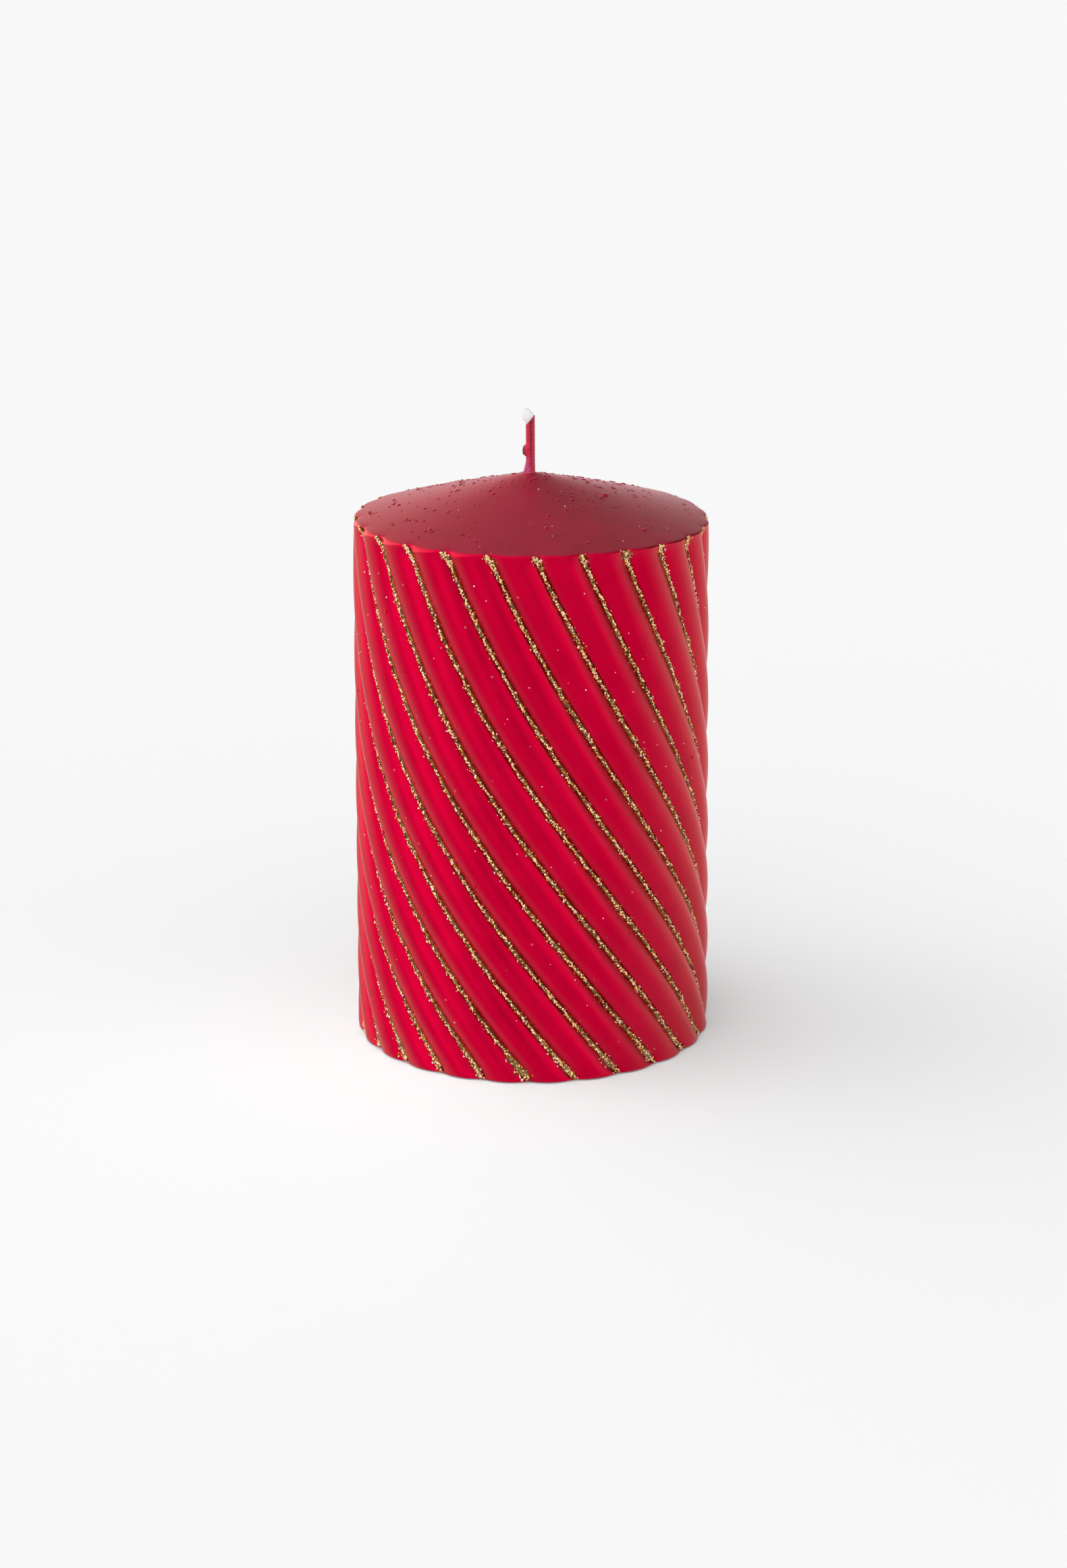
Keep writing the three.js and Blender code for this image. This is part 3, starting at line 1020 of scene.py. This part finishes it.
DIP_HEIGHT = 10 * MM
DIP_GAP = 0.06 * MM
DIP_WALL = 0.12 * MM
DIP_OUTER = WICK_RADIUS + DIP_GAP + DIP_WALL
DIP_SLOPE = 0.95 * MM
DIP_FLARE = 0.1 * MM
DIP_FLARE_HEIGHT = 3 * MM
DIP_FOOT = CONE_HEIGHT - CONE_SLOPE * (DIP_OUTER + DIP_FLARE) - 0.1 * MM
DIP_TOP = CONE_HEIGHT + DIP_HEIGHT
DIP_STEPS = 34
DIP_SIDES = 40
FURROW_ASIDE = 0.14 * MM
FURROW_DEPTH = 0.26 * MM
SET_DROP_HEIGHT = CONE_HEIGHT + 4.1 * MM


def nudge(place, move, reach, falloff="SMOOTH"):
    """Pulls the point nearest to a place, and the points round it, as a soft thumb would."""
    nearest = min(edit_mesh().verts, key=lambda point: (point.co - Vector(place)).length)
    target = nearest.co.copy()
    select_points(lambda co: (co - target).length < 0.001 * MM)
    bpy.ops.transform.translate(
        value=move, use_proportional_edit=True, proportional_edit_falloff=falloff, proportional_size=reach
    )


def dip_radius(height):
    """Radius of the sleeve, which flares towards the cone."""
    return DIP_OUTER + DIP_FLARE * max(0, 1 - (height - DIP_FOOT) / DIP_FLARE_HEIGHT) ** 2


def dip_sleeve():
    """The thin red sleeve round the wick, with a furrow down its front, a set drop and a slanting top."""
    sleeve = new_edit(
        "dip_sleeve",
        bpy.ops.mesh.primitive_circle_add,
        vertices=DIP_SIDES,
        radius=DIP_OUTER + DIP_FLARE,
        location=(0, 0, DIP_FOOT),
    )
    select_whole()
    tall = DIP_TOP - DIP_FOOT
    heights = [DIP_FOOT + tall * (step / DIP_STEPS) ** 1.1 for step in range(1, DIP_STEPS + 1)]
    profile([(dip_radius(height), height) for height in heights])
    for point in edit_mesh().verts:
        up = (point.co.z - DIP_FOOT) / tall
        point.co.z += up**4 * DIP_SLOPE * point.co.x / DIP_OUTER
    bmesh.update_edit_mesh(sleeve.data)
    for share in np.linspace(0.12, 0.96, 14):
        nudge((FURROW_ASIDE, -DIP_OUTER, DIP_FOOT + tall * share), (0, FURROW_DEPTH, 0), 0.4 * MM)
    nudge((-DIP_OUTER, 0, DIP_FOOT + 0.2 * MM), (-0.4 * MM, 0, 0), 2.4 * MM)
    nudge((-DIP_OUTER, -0.1 * MM, SET_DROP_HEIGHT), (-0.66 * MM, 0, 0), 1.15 * MM, "SPHERE")
    drop_belly = (-DIP_OUTER - 0.6 * MM, -0.1 * MM, SET_DROP_HEIGHT - 0.3 * MM)
    nudge(drop_belly, (0, 0, -0.25 * MM), 0.7 * MM)
    thicken(sleeve, DIP_WALL)
    finish_piece(sleeve, 50)
    dress(sleeve, "red_dip", ["wick_dip_coat"], dip)


plaited_wick()
dip_sleeve()


# Copies of a small shape, laid into one mesh

FULL_SPIN = 6.28


def shape_of(piece):
    """The points and triangles of a modelled shape, which is then put away."""
    bpy.ops.object.mode_set(mode="OBJECT")
    piece.data.calc_loop_triangles()
    points = mesh_points(piece)
    faces = np.array([face.vertices for face in piece.data.loop_triangles])
    bpy.data.objects.remove(piece)
    return points, faces


def copies(name, points, faces, tone=None):
    """One mesh of copies: points is copies by corners by three, and faces belong to one copy."""
    count, corners = points.shape[:2]
    mesh = bpy.data.meshes.new(name)
    mesh.vertices.add(count * corners)
    mesh.vertices.foreach_set("co", points.astype(np.float32).ravel())
    index = (faces[None] + corners * np.arange(count)[:, None, None]).reshape(-1, 3)
    mesh.loops.add(index.size)
    mesh.loops.foreach_set("vertex_index", index.astype(np.int32).ravel())
    mesh.polygons.add(len(index))
    mesh.polygons.foreach_set("loop_start", np.arange(0, index.size, 3, dtype=np.int32))
    if tone is not None:
        values = np.repeat(tone, corners).astype(np.float32)
        mesh.attributes.new("tone", "FLOAT", "POINT").data.foreach_set("value", values)
    mesh.update(calc_edges=True)
    return new_object(name, mesh)


def unit(vectors):
    return vectors / np.linalg.norm(vectors, axis=-1, keepdims=True)


def lay_shapes(shape, places, normals, sizes, spins):
    """Turns a shape so that its z axis follows each normal, spins it, and puts a copy at each place."""
    helper = np.where(np.abs(normals[:, 2:]) < 0.9, [[0.0, 0.0, 1.0]], [[1.0, 0.0, 0.0]])
    first = unit(np.cross(helper, normals))
    second = np.cross(normals, first)
    cosine, sine = np.cos(spins)[:, None], np.sin(spins)[:, None]
    axes = np.stack([first * cosine + second * sine, second * cosine - first * sine, normals], axis=1)
    return places[:, None] + np.einsum("kj,nj,njc->nkc", shape, sizes, axes)


def side_frame(angle, radius, height, lean):
    """Places on the side, with normals that lean by an angle towards the rib's right or left."""
    outward = polar(angle, 1.0, 0.0)
    rightward = np.stack([np.cos(angle), np.sin(angle), 0 * angle], axis=-1)
    slant = groove_slant(height)[:, None]
    upright = np.array([[0.0, 0.0, 1.0]])
    aside = rightward * np.cos(slant) + upright * np.sin(slant)
    lean = lean[:, None]
    return polar(angle, radius, height), unit(outward * np.cos(lean) + aside * np.sin(lean))


def on_ribs(height, rib, across, lift=0.0):
    """Places and normals on the ribs: across runs from -1 in a rib's left groove to 1 in its right one."""
    radius = rib_radius(ridge_at(height), across * HALF_PITCH) + lift
    angle = groove_angle(height) + (rib + 0.5) * RIB_PITCH + across * HALF_PITCH
    return side_frame(angle, radius, height, across * 0.8)


def on_cone(around, out, lift=0.0):
    """Places and normals on the cone, by the angle and the distance from the axis."""
    places = polar(around, out, CONE_HEIGHT - CONE_SLOPE * out + lift)
    return places, unit(polar(around, CONE_SLOPE, 1.0))


def both(first, second):
    """Joins two sets of places and normals."""
    return [np.vstack(pair) for pair in zip(first, second)]


# Glitter lines: a bead of glue in every groove, covered with foil flakes

BEAD_HALF_WIDTH = 0.5 * MM
BEAD_HALF_HEIGHT = 0.38 * MM
BEAD_SEAT = 0.4 * MM
BEAD_SIDES = 10
BEAD_STEPS = 90
LINE_FOOT = COAT_LIFT + 0.25 * MM
LINE_TOP = RIM_HEIGHT - 0.05 * MM
END_LENGTH = 1.2 * MM
END_THICKNESS = 0.35
WIDE_LIFT = 0.12 * MM

# Each line is fatter in a blob near its top and near its foot
BLOB_FATNESS = 0.8
BLOB_CHANGE = 0.25
TOP_BLOB_DOWN = 0.9 * MM
TOP_BLOB_REACH = 1.6 * MM
FOOT_BLOB_UP = 2 * MM
FOOT_BLOB_REACH = 3 * MM

# Each line's width and stray wave along its way, per millimetre
WIDTH_WAVES = (0.12, 0.1, 0.09, 0.07)
WIDTH_RATES = (0.31, 0.83, 1.9, 4.3)
STRAY = 0.07 * MM
STRAY_RATES = (0.47, 1.3)

FLAKES_PER_LINE = 1700
FLAKE_SIZE = 0.21 * MM
FLAKE_FLATNESS = 0.16
FLAKE_TILT = math.radians(31)
FLAKE_SPREAD = 0.46
FLAKE_FARTHEST = 1.2
TOP_SHARE = 0.05
FOOT_SHARE = 0.04
EDGE_FROM = 0.85
# Shares of silver flakes, tinted pink as a painted reflection of the red ribs, at a line's edges and inside
# it
SILVER_AT_EDGE = 0.2
SILVER_INSIDE = 0.02


def edge_inset(height):
    """How far the ribs and the bead in their groove are drawn in near the foot and the rim."""
    foot = quarter_ease(FOOT_EASE_IN, 1 - height / FOOT_EASE_UP)
    rim = CHAMFER * np.clip(1 - (RIM_HEIGHT - height) / CHAMFER, 0, 1)
    return foot + rim


def groove_radius(height):
    return ridge_at(height) - edge_inset(height) - RIB_DEPTH * rib_share(height)


def bead_radius(height):
    """Distance of the bead's middle from the axis: nearer the groove's bottom where that is filled."""
    return groove_radius(height) + BEAD_SEAT * rib_share(height)


def end_rounding(height):
    """Share of the bead's thickness near its two rounded ends."""
    ends = np.clip(np.minimum(height - LINE_FOOT, LINE_TOP - height) / END_LENGTH, 0, 1)
    return END_THICKNESS + (1 - END_THICKNESS) * np.sqrt(1 - (1 - ends) ** 2)


def blob(off, reach, phase):
    """How much fatter a line is at a distance from the middle of its blob."""
    return (BLOB_FATNESS + BLOB_CHANGE * math.sin(phase)) * np.exp(-((off / reach) ** 2))


def line_width(height, wobble):
    """Half width of a line of glitter: uneven along its way, with a fat blob at the rim and at the foot."""
    top = blob(LINE_TOP - TOP_BLOB_DOWN - height, TOP_BLOB_REACH, wobble[3])
    low = blob(height - LINE_FOOT - FOOT_BLOB_UP, FOOT_BLOB_REACH, wobble[0])
    waves = zip(WIDTH_WAVES, WIDTH_RATES, wobble)
    uneven = sum(wave * np.sin(height / MM * rate + phase) for wave, rate, phase in waves)
    return BEAD_HALF_WIDTH * (1 + top + low + uneven)


def line_stray(height, wobble):
    """How far a line strays sideways from the bottom of its groove."""
    slow, quick = (height / MM * rate for rate in STRAY_RATES)
    return STRAY * (np.sin(slow + wobble[1]) + np.sin(quick + wobble[2]))


def bead_thickness(widening):
    """A wide stretch of the bead is thicker too, but less so."""
    return 0.75 + 0.25 * widening


def model_bead():
    """One bead of glue along the front groove: an oval ring climbs the groove from foot to rim."""
    start = groove_angle(LINE_FOOT)
    place = tuple(polar(start, bead_radius(LINE_FOOT), LINE_FOOT))
    bead = new_edit(
        "glitter_bead",
        bpy.ops.mesh.primitive_circle_add,
        vertices=BEAD_SIDES,
        radius=BEAD_HALF_WIDTH,
        location=place,
    )
    select_whole()
    stretch(1, BEAD_HALF_HEIGHT / BEAD_HALF_WIDTH, 1, place)
    turn_ring(start, place)
    bpy.ops.mesh.edge_face_add()
    select_whole()
    climb(list(np.linspace(LINE_FOOT, LINE_TOP, BEAD_STEPS + 1)), bead_radius)
    finish_piece(bead, 180)
    return bead


def bead_copy(bead, groove, wobble):
    """The bead turned into its groove, with its own widths and stray."""
    copy = new_object("bead_copy", bead.data.copy())
    points = mesh_points(copy)
    height = points[:, 2]
    middle = groove_angle(height)
    radius = np.hypot(points[:, 0], points[:, 1])
    angle = np.arctan2(points[:, 0], -points[:, 1]) - middle
    widening = line_width(height, wobble) / BEAD_HALF_WIDTH
    rounded = end_rounding(height)
    aside = radius * np.sin(angle) * widening * rounded / np.cos(groove_slant(height))
    seat = bead_radius(height)
    outward = (radius * np.cos(angle) - seat) * bead_thickness(widening) * rounded
    outward = outward + WIDE_LIFT * (widening - 1)
    turned = middle + groove * RIB_PITCH + (aside + line_stray(height, wobble)) / (seat + outward)
    move_points(copy, polar(turned, seat + outward, height))
    return copy


def model_flake():
    """One foil flake: a flattened octahedron, a unit from its middle to each corner."""
    flake = new_edit("flake", bpy.ops.mesh.primitive_uv_sphere_add, segments=4, ring_count=2, radius=1)
    select_whole()
    stretch(1, 1, FLAKE_FLATNESS)
    return shape_of(flake)


def tilted(normals, chance, amount):
    """Normals tipped by a chance angle in a chance direction."""
    away = unit(chance.normal(size=normals.shape))
    away = unit(away - (away * normals).sum(axis=1, keepdims=True) * normals)
    tip = np.abs(chance.normal(0, amount, len(normals)))[:, None]
    return unit(normals * np.cos(tip) + away * np.sin(tip))


def flake_tones(chance, count, silver):
    """Nearly half of the flakes get a dark painted reflection, the others gold up to bright painted glints; a
    share of all is silver with a painted pink reflection.
    """
    dull = chance.random(count) < DULL_SHARE
    lit = np.where(dull, chance.uniform(*DULL_TONES, count), chance.uniform(*GLINT_TONES, count))
    dark = chance.random(count) < DARK_REFLECTION_SHARE
    tone = np.where(dark, chance.uniform(*DARK_REFLECTION_TONES, count), lit)
    return np.where(chance.random(count) < silver, SILVER_TONE, tone)


def flake_sizes(chance, largest, count):
    """A size for each flake, the same along its three axes."""
    return FLAKE_SIZE * chance.uniform(0.6, largest, count)[:, None] * np.ones((1, 3))


def line_flakes(groove, wobble, chance, flake, faces):
    """The flakes that cover one bead, thicker at its two ends, and lie beside it on the ribs."""
    count = FLAKES_PER_LINE
    height = chance.uniform(LINE_FOOT, LINE_TOP, count)
    ends = chance.random(count)
    height = np.where(ends < TOP_SHARE, LINE_TOP - np.abs(chance.normal(0, 1.5 * MM, count)), height)
    low = LINE_FOOT + np.abs(chance.normal(0, 2.2 * MM, count))
    height = np.where(ends > 1 - FOOT_SHARE, low, height)
    across = np.clip(chance.normal(0, FLAKE_SPREAD, count), -FLAKE_FARTHEST, FLAKE_FARTHEST)
    half = line_width(height, wobble)
    aside = across * half + line_stray(height, wobble)
    dome = BEAD_HALF_HEIGHT * end_rounding(height) * np.sqrt(np.clip(1 - across**2, 0, 1))
    bead_top = bead_radius(height) + dome * bead_thickness(half / BEAD_HALF_WIDTH)
    away = np.abs(aside) / np.cos(groove_slant(height)) / groove_radius(height)
    ridge = ridge_at(height)
    rib = ridge - (ridge - rib_radius(ridge, HALF_PITCH - away)) * rib_share(height) - edge_inset(height)
    tone = flake_tones(chance, count, np.where(np.abs(across) > EDGE_FROM, SILVER_AT_EDGE, SILVER_INSIDE))
    # Flakes with painted glints are set a little higher and made a little larger
    bright = tone > GLINT_FROM
    radius = np.maximum(bead_top, rib) + (chance.uniform(-0.02, 0.07, count) + 0.05 * bright) * MM
    angle = groove_angle(height) + groove * RIB_PITCH
    angle = angle + aside / np.cos(groove_slant(height)) / radius
    lean = np.where(radius > rib + 0.08 * MM, across * 0.9, -np.sign(aside) * 0.7)
    places, normals = side_frame(angle, radius, height, lean)
    sizes = flake_sizes(chance, 1.35, count) * (1 + 0.2 * bright)[:, None]
    spins = chance.uniform(0, FULL_TURN, count)
    points = lay_shapes(flake, places, tilted(normals, chance, FLAKE_TILT), sizes, spins)
    points[..., 2] = np.maximum(points[..., 2], 0.05 * MM)
    return copies("cover", points, faces, tone)


def glitter_lines(flake, faces):
    bead = model_bead()
    for groove in range(RIB_COUNT):
        chance = np.random.default_rng(100 + groove)
        wobble = chance.uniform(0, FULL_TURN, 4)
        line = bead_copy(bead, groove, wobble)
        line.data.materials.append(glue)
        cover = line_flakes(groove, wobble, chance, flake, faces)
        cover.data.materials.append(flakes)
        joined = join_pieces([line, cover], f"glitter_bead_{groove + 1:02d}")
        lift_rim(joined)
        dress(joined, "gold_glitter", [f"glitter_line_{groove + 1:02d}"])
    bpy.data.objects.remove(bead)


# Stray flakes on the ribs and the cone

STRAY_ON_SIDE = 170
STRAY_ON_CONE = 46
STRAY_TILT = 0.3
# Share of the stray flakes that are silver, tinted pink as a painted reflection of the red ribs
STRAY_SILVER = 0.6


def stray_glitter(flake, faces):
    chance = np.random.default_rng(41)
    height = chance.uniform(2 * MM, RIM_HEIGHT - 4 * MM, STRAY_ON_SIDE)
    rib = chance.integers(0, RIB_COUNT, STRAY_ON_SIDE)
    across = chance.uniform(-0.8, 0.8, STRAY_ON_SIDE)
    out = RIM_EDGE * np.sqrt(chance.uniform(0.01, 0.85, STRAY_ON_CONE))
    around = chance.uniform(0, FULL_TURN, STRAY_ON_CONE)
    on_side = on_ribs(height, rib, across, 0.02 * MM)
    places, normals = both(on_side, on_cone(around, out, 0.03 * MM))
    count = len(places)
    sizes = flake_sizes(chance, 1.1, count)
    leaning = tilted(normals, chance, STRAY_TILT)
    points = lay_shapes(flake, places, leaning, sizes, chance.uniform(0, FULL_SPIN, count))
    stray = copies("stray_glitter", points, faces, flake_tones(chance, count, STRAY_SILVER))
    lift_rim(stray)
    dress(stray, "gold_glitter", [], flakes)


flake_shape, flake_faces = model_flake()
glitter_lines(flake_shape, flake_faces)
stray_glitter(flake_shape, flake_faces)


# Crumbs of wax under the lacquer: clusters and single ones on the cone, and a few on the ribs

CRUMB_CLUSTERS = 95
CLUSTER_FARTHEST = 29 * MM
CLUSTER_CROWDING = 0.95
CLUSTER_DEPTH = 0.35 * MM
CLUSTER_LENGTH = 1.3 * MM
WICK_CLEARANCE = 1.5 * MM
LONE_CRUMBS = 190
LONE_FARTHEST = 31 * MM
SIDE_CRUMBS = 40
CRUMB_WIDTH = 0.18 * MM
CRUMB_VARIETY = 0.38
CRUMB_LONGEST = 1.7
CRUMB_HEIGHT = 0.6


def model_crumb():
    """One crumb: a low dome, cut flat underneath."""
    crumb = new_edit("crumb", bpy.ops.mesh.primitive_ico_sphere_add, subdivisions=2, radius=1)
    select_whole()
    bpy.ops.mesh.bisect(plane_co=(0, 0, -0.3), plane_no=(0, 0, 1), clear_inner=True, use_fill=True)
    return shape_of(crumb)


def crumbs():
    chance = np.random.default_rng(23)
    crumb, faces = model_crumb()
    out, around = [], []
    for _ in range(CRUMB_CLUSTERS):
        middle_out = CLUSTER_FARTHEST * chance.uniform(0.02, 1) ** CLUSTER_CROWDING
        middle_around = chance.uniform(0, FULL_TURN)
        for _ in range(chance.integers(2, 6)):
            out.append(abs(middle_out + chance.normal(0, CLUSTER_DEPTH)) + WICK_CLEARANCE)
            around.append(middle_around + chance.normal(0, CLUSTER_LENGTH) / max(middle_out, 3 * MM))
    out += list(LONE_FARTHEST * np.sqrt(chance.uniform(0.01, 1, LONE_CRUMBS)))
    around += list(chance.uniform(0, FULL_TURN, LONE_CRUMBS))
    height = chance.uniform(4 * MM, RIM_HEIGHT - 5 * MM, SIDE_CRUMBS)
    across = chance.uniform(-0.75, 0.75, SIDE_CRUMBS)
    rib = chance.integers(0, RIB_COUNT, SIDE_CRUMBS)
    places, normals = both(on_cone(np.array(around), np.array(out)), on_ribs(height, rib, across))
    count = len(places)
    width = chance.lognormal(math.log(CRUMB_WIDTH), CRUMB_VARIETY, count)
    length = width * chance.uniform(1, CRUMB_LONGEST, count)
    sizes = np.stack([length, width, CRUMB_HEIGHT * width], axis=1)
    points = lay_shapes(crumb, places, normals, sizes, chance.uniform(0, FULL_SPIN, count))
    made = copies("lacquer_crumbs", points, faces)
    made.data.shade_smooth()
    # The crumbs on the cone take the darker lacquer, which is painted shade
    dress(made, "red_lacquer", [], lacquer, shaded_crumb_lacquer)
    split_lacquer(made)
    lift_rim(made)


crumbs()


# Floor and light

FLOOR_SIZE = 24.0
FLOOR_GREYS = (0.925, 0.925, 0.925), (0.93, 0.93, 0.93)

# Softboxes and walls of the studio, in rings round the candle: each ring's elevation in degrees and its
# patches' sharpness, and the level at each azimuth, in degrees from the front towards +X
STUDIO = [
    (6, 14, {-150: 2.05, -120: 2.2, -90: 1.25, -65: 0.4, 65: 2.0, 90: 0.45, 120: 0.15, 150: 0.3, 180: 0.5}),
    (8, 34, {-40: 1.8, -20: 1.95, 0: 0.2, 40: 0.95}),
    (38, 10, {-180: 0.1, -135: 0.45, -90: 1.45, -45: 0.65, 0: 1.65, 45: 0.5}),
    (88, 6, {0: 1.5}),
    (48, 40, {-85: 0.9}),
    (28, 30, {-60: 0.25}),
    (30, 30, {-110: 0.65}),
]
BACKGROUND = 0.947


def floor():
    bpy.ops.object.select_all(action="DESELECT")
    bpy.ops.mesh.primitive_plane_add(size=FLOOR_SIZE, location=(0, 0, 0))
    plane = bpy.context.object
    plane.name = "floor"
    material, tree, shader = new_material("pale_floor", Roughness=1.0, Specular_IOR_Level=0.0)
    mottle = grain(tree, object_place(tree), 40.0, 2.0, 0.5)[1]
    feed(tree, shader, Base_Color=mix_colours(tree, mottle, *FLOOR_GREYS))
    plane.data.materials.append(material)


def light_patch(tree, direction, azimuth, elevation, sharpness, level):
    """A soft patch of light that is brightest at one azimuth and elevation."""
    azimuth, elevation = math.radians(azimuth), math.radians(elevation)
    towards = tuple(polar(azimuth, math.cos(elevation), math.sin(elevation)))
    near = add_node(tree, "ShaderNodeVectorMath", {0: direction, 1: towards}, operation="DOT_PRODUCT")
    off = math_node(tree, "SUBTRACT", near.outputs["Value"], 1.0)
    return product(tree, math_node(tree, "EXPONENT", product(tree, off, sharpness)), level)


def studio_world():
    """Soft light from broad, even patches round the candle, and a plain pale wall where the camera looks."""
    world = bpy.data.worlds.new("studio")
    bpy.context.scene.world = world
    world.use_nodes = True
    tree = world.node_tree
    tree.nodes.clear()
    direction = tree.nodes.new("ShaderNodeTexCoord").outputs["Generated"]
    light = 0.0
    for elevation, sharpness, levels in STUDIO:
        for azimuth, level in levels.items():
            patch = light_patch(tree, direction, azimuth, elevation, sharpness, level)
            light = math_node(tree, "ADD", light, patch)
    lit = add_node(tree, "ShaderNodeBackground", {"Strength": light})
    seen = add_node(tree, "ShaderNodeBackground", {"Strength": BACKGROUND})
    camera_ray = tree.nodes.new("ShaderNodeLightPath").outputs["Is Camera Ray"]
    mixed = add_node(tree, "ShaderNodeMixShader", {0: camera_ray, 1: lit.outputs[0], 2: seen.outputs[0]})
    add_node(tree, "ShaderNodeOutputWorld", {"Surface": mixed.outputs[0]})


floor()
studio_world()
bpy.context.scene.view_settings.view_transform = "Standard"
bpy.context.scene.view_settings.look = "None"
